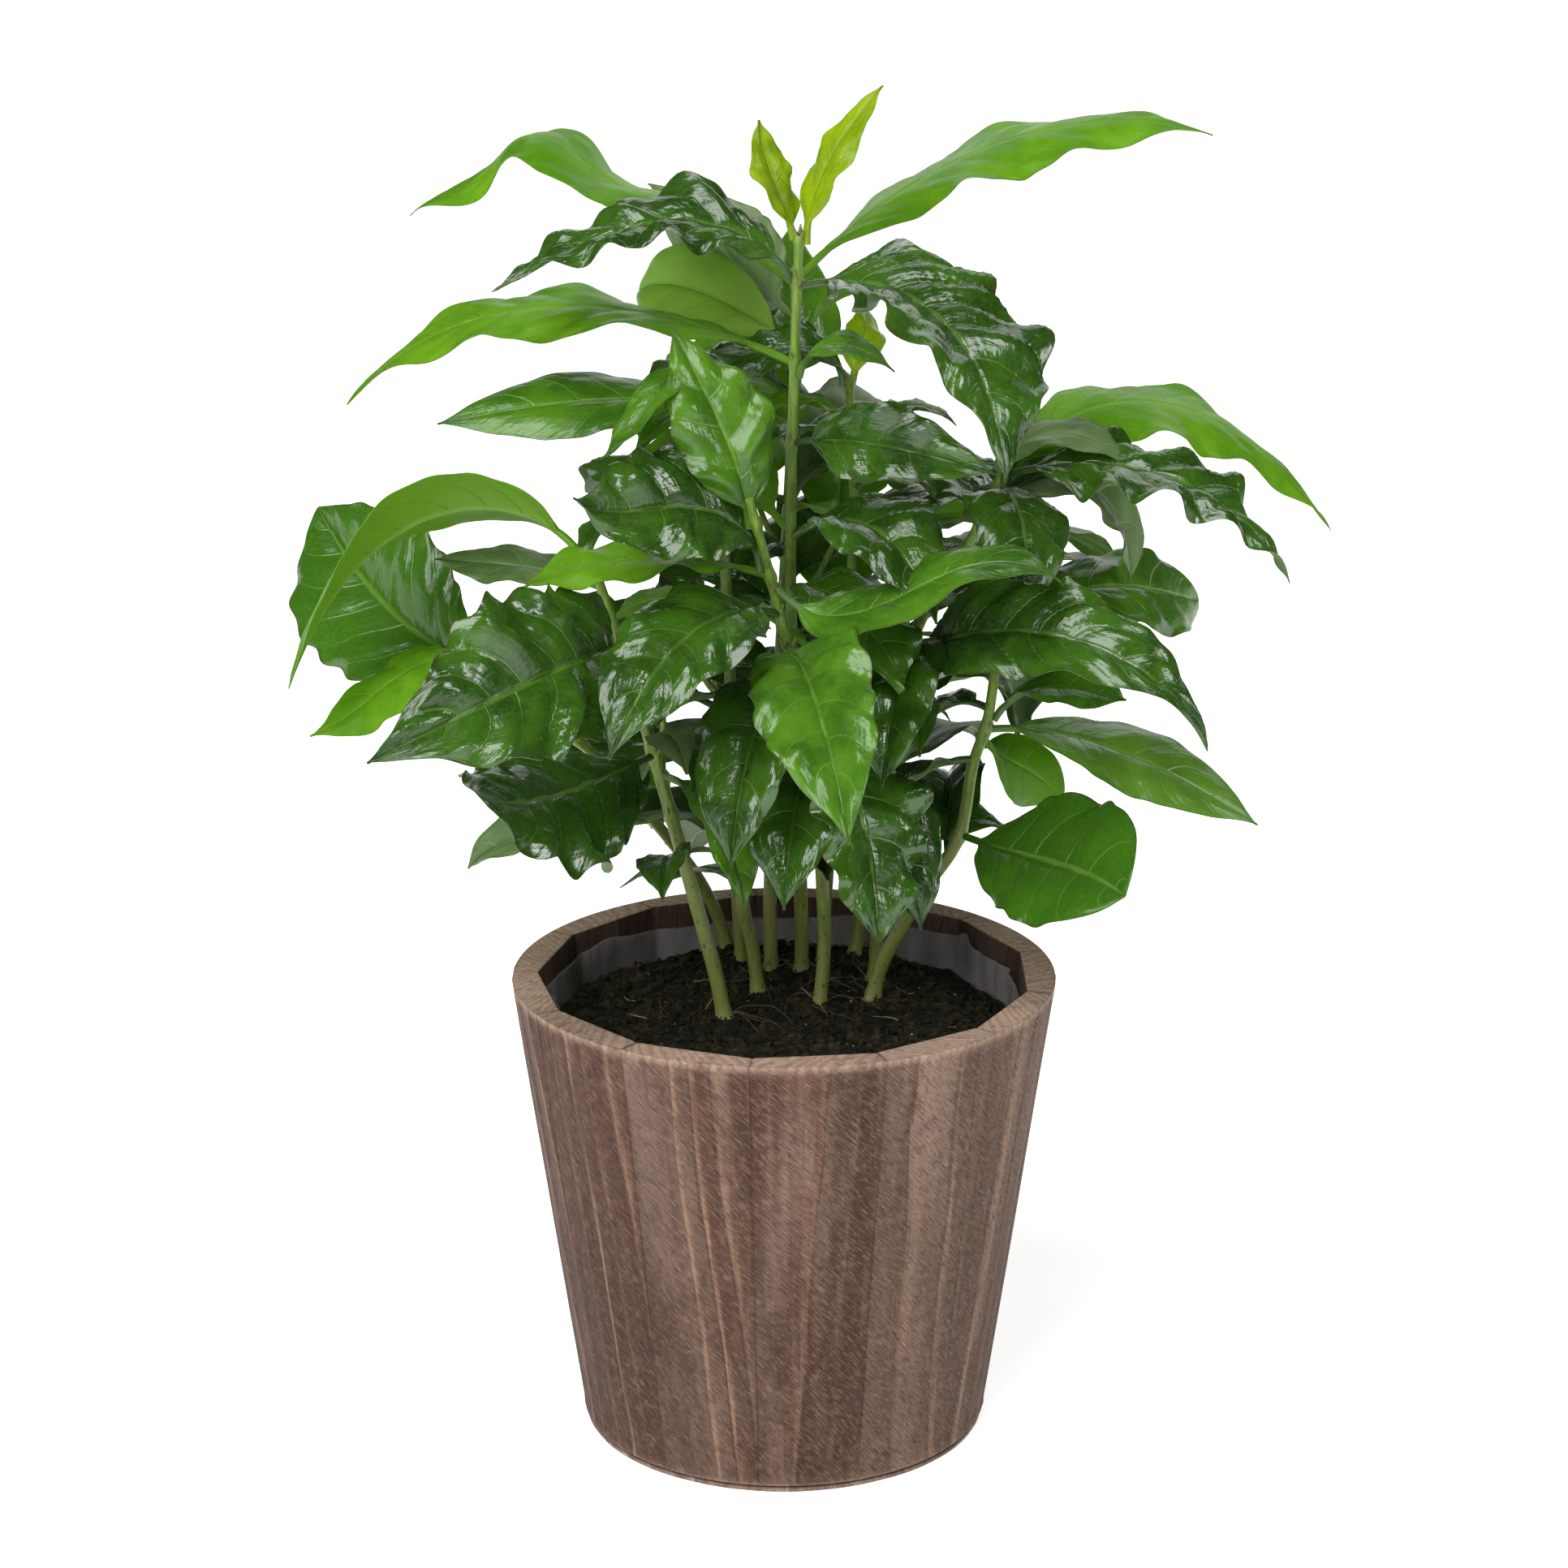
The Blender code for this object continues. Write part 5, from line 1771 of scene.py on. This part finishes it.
    def stave(self, shell: Shell, number: int) -> None:
        """Add one closed stave.

        Args:
            shell: the piece that holds all the staves.
            number: the stave's number, round from the left corner.
        """
        step = 2 * math.pi / self.staves
        start = math.pi + number * step
        rng = np.random.default_rng(100 + number)
        heights, shares, pulls = self.profile()
        part = np.linspace(0, 1, self.columns)
        turns = start + step * part
        outer = self.outer_radius(heights)[None] - pulls[None]
        corner = self.inner_radius(heights)[None]
        flat = corner * math.cos(step / 2) / np.cos(turns - start - step / 2)[:, None]
        radius = outer * (1 - shares) + flat * shares
        angle = np.broadcast_to(turns[:, None], radius.shape)
        high = np.broadcast_to(heights[None], radius.shape)
        points = np.stack([radius * np.cos(angle), radius * np.sin(angle), high], -1)
        middle = start + step / 2
        ring = self.rings(points, number, middle)
        share = ring % 1.0
        crest = smoothstep(0.55, 0.9, share) * (1 - smoothstep(0.93, 1.0, share))
        out = 0.2 * crest - 0.1 + 0.1 * np.sin(angle * 40 + high / 31)
        edge = np.exp(-((part * self.columns / 1.6) ** 2)) + np.exp(-(((1 - part) * self.columns / 1.6) ** 2))
        on_face = (shares == 0) & (pulls == 0)
        out = (out - 0.1 * edge[:, None]) * on_face
        on_top = (shares > 0) & (shares < 1) & (heights >= self.height)
        points[..., 0] += out * np.cos(angle)
        points[..., 1] += out * np.sin(angle)
        points[..., 2] += np.where(on_top, rng.uniform(-0.12, 0.12) - 0.1 * edge[:, None], 0)
        tangent = np.array([-math.sin(middle), math.cos(middle), 0.0])
        points += tangent * (self.joint * (1 - 2 * part))[:, None, None]
        along = np.where(shares[None] > 0, radius, high)
        places = np.stack([angle * self.map_radius * MM, along * MM], -1)
        from_edge = np.minimum(part, 1 - part) * step * self.map_radius
        seam = np.exp(-((from_edge / 0.4) ** 2))[:, None] * np.where(shares == 0, 0.22, 0.7)
        slant = rng.uniform(0.5, 1.2) * rng.choice([-1.0, 1.0])
        offset = (turns - middle)[:, None] * 70 + slant * (radius - 70) + 0.5 * np.sin(radius / 1.7 + number)
        marks = {
            "grain": offset / rng.uniform(2.4, 4.0) + 0.3 * np.sin(offset / 3.1),
            "ring": ring,
            "stave": np.full(ring.shape, float(number)),
            "tone": np.full(ring.shape, self.tones[number]),
            "seam": seam,
            # The worn mark also holds the painted shade on the inner wall.
            "worn": np.broadcast_to(self.wear_and_inner_shade(heights, shares), ring.shape),
        }
        first = shell.add_points(points, places, marks)
        shell.add_grid(first, self.columns, len(heights), flip=True, loop=True)
        shell.add_caps(first, self.columns, len(heights), flip=True)

    def build(self) -> None:
        """Make the staves as one piece, and dress the board under them."""
        shell = Shell()
        for number in range(self.staves):
            self.stave(shell, number)
        finish_piece(shell.make("pot_staves", [STAVE_WOOD.material()], 40.0), ["pot_wall"])
        self.board()

    def board(self) -> None:
        """Make the round board under the staves, with its plug inside them."""
        turns = np.linspace(0, 2 * math.pi, 260, endpoint=False)
        plug = self.flat_side(self.foot_corner - 0.4, turns)
        rim = np.full(turns.shape, self.board_radius) + 0.08 * np.sin(7 * turns) + 0.05 * np.sin(19 * turns)
        steps = [
            (0.02 * plug, 9.0), (0.97 * plug, 9.0), (plug, 8.6), (plug, 1.3), (rim - 0.25, 1.3),
            (rim, 1.1), (rim, 0.3), (rim - 0.3, 0.0), (0.5 * rim, 0.0), (0.02 * rim, 0.0),
        ]
        rows = [np.stack([r * np.cos(turns), r * np.sin(turns), 0 * turns + z], -1) for r, z in steps]
        points = np.array(rows)
        grain = points[..., 0] / 6.5 + 0.4 * np.sin(points[..., 1] / 23)
        plain = {"stave": 3.0, "tone": 0.0, "seam": 0.0, "worn": 0.15}
        marks = {name: np.full(grain.shape, value) for name, value in plain.items()}
        shell = Shell()
        first = shell.add_points(points, points[..., :2] * MM, {"grain": grain, "ring": grain, **marks})
        shell.add_grid(first, len(steps), len(turns), flip=True, loop=True)
        shell.add_caps(first, len(steps), len(turns), flip=True)
        finish_piece(shell.make("pot_board", [BOARD_WOOD.material()], 40.0), ["pot_base"])


@dataclass
class FilmLiner:
    """The clear film between soil and staves, creased and uneven along its top."""

    pot: StavedPot
    top: float = 125.0
    bottom: float = 104.0
    inset: float = 0.8
    thickness: float = 0.15
    columns: int = 520
    rows: int = 22

    def build(self) -> None:
        """Make the film as one creased sheet."""
        turns = np.linspace(0, 2 * math.pi, self.columns, endpoint=False)
        ragged = 1.0 * np.sin(2 * turns + 0.7) + 0.6 * np.sin(5 * turns + 2) + 0.25 * np.sin(11 * turns + 1)
        peak = 2.6 * np.exp(-(((turns - 0.62) / 0.07) ** 2)) + 1.6 * np.exp(-(((turns - 2.5) / 0.1) ** 2))
        share = np.linspace(0, 1, self.rows)
        high = self.bottom + (self.top + ragged + peak - self.bottom)[:, None] * share[None]
        flat = self.pot.flat_side(self.pot.inner_radius(high) - self.inset, turns[:, None])
        loose = smoothstep(0.35, 1.0, share)[None]
        folded = 0.25 + 0.75 * smoothstep(0.2, 0.8, np.cos(2 * turns - 1.1))
        crease = 0.4 * np.abs(np.sin(9 * turns + 3 * np.sin(2 * turns)))[:, None]
        crease = crease + (0.9 * folded * np.abs(np.sin(23 * turns + 1.3)) ** 0.6)[:, None] * loose
        crease = crease + 0.3 * np.sin(high * 0.5 + 14 * turns[:, None]) * loose * folded[:, None]
        slump = 1.2 * np.clip(np.sin(3 * turns + 0.4), 0, 1)[:, None] * loose
        radius = flat - np.abs(crease) - slump
        points = np.stack([radius * np.cos(turns)[:, None], radius * np.sin(turns)[:, None], high], -1)
        places = np.stack([np.broadcast_to(turns[:, None] / 6.3, high.shape), high / 100], -1)
        shell = Shell()
        rows = np.concatenate([points, points[:1]])
        first = shell.add_points(rows, np.concatenate([places, places[:1]]), {})
        shell.add_grid(first, self.columns + 1, self.rows)
        film = shell.make("film_sheet", [CLEAR_FILM.material()])
        skin = film.modifiers.new("skin", "SOLIDIFY")
        skin.thickness = self.thickness * MM
        finish_piece(film, ["liner"])


@dataclass
class SoilBed:
    """Dark moist peat with crumbs, grit, straw, fine roots and a little moss."""

    pot: StavedPot
    level: float = 117.3
    radius: float = 63.3
    clearance: float = 3.2
    lower_rings: tuple[float, ...] = (112.0, 90.0, 50.0, 9.5)
    rings: int = 64
    sides: int = 200
    crumbs: int = 5200
    barks: int = 420
    grits: int = 60
    seed: int = 5

    def lift(self, x: float, y: float) -> float:
        """Roll the soil's surface, with a mound round each stem and a hollow at the right.

        Args:
            x: the place across.
            y: the place from front to back.

        Returns:
            The height there.
        """
        rolling = 1.6 * noise.noise(Vector((x * 0.05, y * 0.05, 3.0)))
        lumps = 1.1 * noise.noise(Vector((x * 0.16, y * 0.16, 8.0)))
        fine = 0.55 * noise.noise(Vector((x * 0.5, y * 0.5, 1.0)))
        mound = 0.0
        for stem in STEMS.values():
            foot = stem.line[0]
            mound = max(mound, 1.6 * math.exp(-((x - foot[0]) ** 2 + (y - foot[1]) ** 2) / 40))
        hollow = -2.0 * math.exp(-((x - 38) ** 2 + (y - 22) ** 2) / 500)
        return self.level + rolling + lumps + fine + mound + hollow

    def bed(self) -> None:
        """Make the soil's body with its uneven top."""
        turns = np.linspace(0, 2 * math.pi, self.sides, endpoint=False)
        reach = self.pot.flat_side(self.radius, turns)
        rings = []
        for share in np.linspace(0.02, 1.0, self.rings):
            x, y = reach * share * np.cos(turns), reach * share * np.sin(turns)
            z = np.array([self.lift(float(a), float(b)) for a, b in zip(x, y)]) - 1.2 * share**12
            rings.append(np.stack([x, y, z], -1))
        edge = rings[-1]
        for height in self.lower_rings:
            narrow = (self.pot.inner_radius(height) - self.clearance) / self.radius
            rings.append(edge * (narrow, narrow, 0.0) + (0.0, 0.0, height))
        points = np.array(rings)
        shell = Shell()
        first = shell.add_points(points, points[..., :2] / 100, {})
        shell.add_grid(first, len(rings), self.sides, flip=True, loop=True)
        shell.add_caps(first, len(rings), self.sides, flip=True)
        finish_piece(shell.make("soil_bed", [PEAT.material()]), ["soil"])

    def spot(self, rng: np.random.Generator, reach: float = 0.97) -> tuple[float, float]:
        """Pick a chance place on the soil.

        Args:
            rng: the chance numbers.
            reach: how far out it may be, as a share of the radius.

        Returns:
            Its x and y.
        """
        radius = self.radius * reach * math.sqrt(rng.uniform(0, 1)) * 0.97
        turn = rng.uniform(0, 2 * math.pi)
        return radius * math.cos(turn), radius * math.sin(turn)

    def scatter(
        self, name: str, finish: Finish, count: int, sizes: tuple[float, float], sunk: float, seed: int
    ) -> None:
        """Strew small uneven lumps over the soil, as one piece.

        Args:
            name: the piece's name.
            finish: its finish.
            count: how many lumps.
            sizes: the smallest and the largest radius.
            sunk: how far each goes in, as a share of its size.
            seed: seed of the chance numbers.
        """
        rng = np.random.default_rng(seed)
        shape = lump_shape()
        shell = Shell()
        for _ in range(count):
            x, y = self.spot(rng)
            size = sizes[0] * (sizes[1] / sizes[0]) ** (rng.uniform(0, 1) ** 2)
            spin = Matrix.Rotation(rng.uniform(0, 6.3), 3, Vector(rng.normal(size=3)).normalized())
            squash = np.array([rng.uniform(0.7, 1.4), rng.uniform(0.6, 1.1), rng.uniform(0.45, 0.8)])
            rough = 1 + rng.uniform(-0.3, 0.3, (len(shape[0]), 1))
            lump = (shape[0] * rough * squash * size) @ np.array(spin)
            lump = lump + np.array([x, y, self.lift(x, y) + size * (0.5 - sunk)])
            first = shell.add_points(lump, lump[:, :2] / 100, {})
            shell.add_faces([[first + corner for corner in face] for face in shape[1]])
        finish_piece(shell.make(name, [finish.material()], 30.0), [])

    def threads(
        self, name: str, finish: Finish, count: int, length: tuple[float, float], radius: float, seed: int,
        near: bool,
    ) -> None:
        """Lay thin bent threads on the soil, as one piece.

        Args:
            name: the piece's name.
            finish: its finish.
            count: how many threads.
            length: the shortest and the longest.
            radius: their thickness at the start.
            seed: seed of the chance numbers.
            near: True lays them beside the stems, as roots.
        """
        rng = np.random.default_rng(seed)
        feet = [stem.line[0] for stem in STEMS.values()]
        shell = Shell()
        for number in range(count):
            x, y = self.spot(rng, 0.9)
            if near:
                foot = feet[number % len(feet)]
                x, y = foot[0] + rng.uniform(-4, 4), foot[1] + rng.uniform(-4, 4)
            turn = rng.uniform(0, 6.3)
            run = rng.uniform(*length)
            curl = rng.uniform(-1.4, 1.4)
            tilt = rng.uniform(0.1, 0.5) if near else rng.choice([0.1, 2.6])
            line = []
            for share in np.linspace(0, 1, 10):
                px = x + run * share * math.cos(turn + curl * share)
                py = y + run * share * math.sin(turn + curl * share)
                rise = run * tilt * (share * (1 - share) * 2 if near else share * 0.5)
                line.append((px, py, self.lift(px, py) + rise + 0.2))
            add_tube(shell, np.array(line), np.linspace(radius, radius * 0.5, len(line)))
        finish_piece(shell.make(name, [finish.material()]), [])

    def moss(self) -> None:
        """Grow a small patch of moss at the front left."""
        rng = np.random.default_rng(41)
        shell = Shell()
        for _ in range(420):
            turn = math.radians(rng.normal(247, 5))
            radius = min(rng.normal(56.5, 2.6), 61.0)
            x, y = radius * math.cos(turn), radius * math.sin(turn)
            base = np.array([x, y, self.lift(x, y) + 0.3])
            lean = np.append(rng.normal(0, 0.6, 2), 1.6)
            line = np.array([base, base + lean * 0.5, base + lean])
            add_tube(shell, line, np.array([0.35, 0.235, 0.12]), 4)
        finish_piece(shell.make("moss_patch", [MOSS.material()]), [])

    def build(self) -> None:
        """Make the bed, then all that lies on it."""
        self.bed()
        self.scatter("peat_crumbs", PEAT, self.crumbs, (0.25, 1.6), 0.25, self.seed)
        self.scatter("bark_bits", BARK_CRUMB, self.barks, (0.2, 1.1), 0.1, self.seed + 1)
        self.scatter("grit", GRIT, self.grits, (0.18, 0.6), 0.1, self.seed + 2)
        self.threads("straw_bits", STRAW, 16, (3.0, 8.0), 0.2, self.seed + 3, False)
        self.threads("fine_roots", ROOT, 46, (6.0, 20.0), 0.14, self.seed + 4, True)
        self.moss()


def lump_shape() -> tuple[np.ndarray, list[list[int]]]:
    """Make an icosahedron of radius 1.

    Returns:
        Its corners and its faces.
    """
    golden = (1 + math.sqrt(5)) / 2
    corners = []
    for a, b in product((-1, 1), (-golden, golden)):
        corners += [(0, a, b), (a, b, 0), (b, 0, a)]
    points = np.array(corners, float)
    points /= np.linalg.norm(points[0])
    side = 1.06
    faces = []
    for i, j, k in combinations(range(len(points)), 3):
        trio = points[[i, j, k]]
        if np.linalg.norm(trio - trio[[1, 2, 0]], axis=1).max() < side:
            is_out = np.dot(np.cross(trio[1] - trio[0], trio[2] - trio[0]), trio.sum(0)) > 0
            faces.append([i, j, k] if is_out else [i, k, j])
    return points, faces


def add_tube(
    shell: Shell, line: np.ndarray, radii: np.ndarray, sides: int = 6, across: Point = (0.31, 0.87, 0.38)
) -> None:
    """Add a thin closed tube along a line.

    Args:
        shell: the piece.
        line: the tube's centre line, in millimetres.
        radii: its radius at each point of the line, and round it too if the tube has ribs.
        sides: how many sides it has.
        across: a direction that the line never takes.
    """
    ahead = np.gradient(line, axis=0)
    ahead /= np.maximum(np.linalg.norm(ahead, axis=1, keepdims=True), 1e-9)
    side = np.cross(ahead, np.array(across))
    side /= np.linalg.norm(side, axis=1, keepdims=True)
    front = np.cross(ahead, side)
    turns = np.linspace(0, 2 * math.pi, sides, endpoint=False)
    ring = side[:, None] * np.cos(turns)[:, None] + front[:, None] * np.sin(turns)[:, None]
    points = line[:, None] + ring * radii.reshape(len(line), -1, 1)
    first = shell.add_points(points, points[..., :2] / 100, {})
    shell.add_grid(first, len(line), sides, loop=True)
    shell.add_caps(first, len(line), sides)


# Studio


@dataclass
class Lamp:
    """A soft square lamp: where it stands, its side and its power."""

    name: str
    place: Point
    side: float
    power: float
    aim: Point = (0.0, 0.0, 0.2)


@dataclass
class Studio:
    """A pale floor, soft light and the camera at the photograph's viewing angle."""

    floor_radius: float = 40.0
    floor_finish: PaintFinish = PaintFinish("floor_paint", (0.93, 0.93, 0.93), 0.62)
    camera_place: Point = (0.0, -0.955, 0.465)
    camera_pitch: float = 16.4
    lens: float = 84.0
    sensor: float = 36.0
    room_low: float = 0.05
    room_high: float = 0.1
    horizon: float = 1.05
    sun_power: float = 1.8
    sun_softness: float = 33.0
    sun_from: Point = (-0.16, -0.3, 1.0)
    lamps: tuple[Lamp, ...] = (
        Lamp("window_lamp", (-0.6, -0.9, 0.85), 0.85, 15.0),
        Lamp("fill_lamp", (0.8, -0.6, 0.75), 0.34, 3.6),
        Lamp("back_lamp", (0.2, 1.15, 0.95), 1.15, 5.5),
    )

    def build(self) -> None:
        """Set up floor, world, lamps and camera."""
        scene = bpy.context.scene
        scene.view_settings.view_transform = "Standard"
        bpy.ops.mesh.primitive_circle_add(vertices=96, radius=self.floor_radius, fill_type="NGON")
        floor = bpy.context.object
        floor.name = "floor"
        floor.data.materials.append(self.floor_finish.material())
        scene.world = self.room()
        sun = bpy.data.lights.new("soft_sun", "SUN")
        sun.energy = self.sun_power
        sun.angle = math.radians(self.sun_softness)
        self.stand("soft_sun", sun, self.sun_from, (0.0, 0.0, 0.0))
        for lamp in self.lamps:
            light = bpy.data.lights.new(lamp.name, "AREA")
            light.shape = "SQUARE"
            light.size = lamp.side
            light.energy = lamp.power
            self.stand(lamp.name, light, lamp.place, lamp.aim)
        view = bpy.data.cameras.new("photo_camera")
        view.lens = self.lens
        view.sensor_width = self.sensor
        camera = bpy.data.objects.new("photo_camera", view)
        camera.location = self.camera_place
        camera.rotation_euler = (math.radians(90 - self.camera_pitch), 0.0, 0.0)
        scene.collection.objects.link(camera)
        scene.camera = camera

    def room(self) -> bpy.types.World:
        """Make the room round the set: pale walls behind and beside it, dim in front and overhead.

        Returns:
            The world.
        """
        world = bpy.data.worlds.new("soft_room")
        world.use_nodes = True
        nodes = Nodes(world.node_tree)
        split = nodes.add("SeparateXYZ", {0: nodes.add("TexCoord").outputs["Generated"]})
        low = nodes.between(split.outputs[2], 0.2, 0.6, 1.0, 0.0)
        behind = nodes.between(split.outputs[1], -0.75, 0.55, 0.1, 1.0)
        wall = nodes.between(nodes.times(low, behind), 0.0, 1.0, self.room_low, self.room_high)
        sweep = nodes.between(split.outputs[2], 0.05, 0.1, self.horizon, 0.0)
        background = world.node_tree.nodes["Background"]
        nodes.feed(background.inputs["Strength"], nodes.math("MAXIMUM", wall, sweep))
        nodes.feed(background.inputs["Color"], (1.0, 1.0, 1.0))
        return world

    def stand(self, name: str, light: bpy.types.Light, place: Point, aim: Point) -> None:
        """Place a light and turn it to what it lights.

        Args:
            name: the lamp's name.
            light: the light itself.
            place: where it stands, in metres.
            aim: what it points at, in metres.
        """
        lamp = bpy.data.objects.new(name, light)
        lamp.location = place
        lamp.rotation_euler = (Vector(aim) - Vector(place)).to_track_quat("-Z", "Y").to_euler()
        bpy.context.scene.collection.objects.link(lamp)


def main() -> None:
    """Build the studio, the pot with its soil, then the plant."""
    logging.basicConfig(level=logging.INFO, format="%(name)s: %(message)s")
    Studio().build()
    pot = StavedPot()
    pot.build()
    FilmLiner(pot).build()
    SoilBed(pot).build()
    Clump().build()


if __name__ == "__main__":
    main()
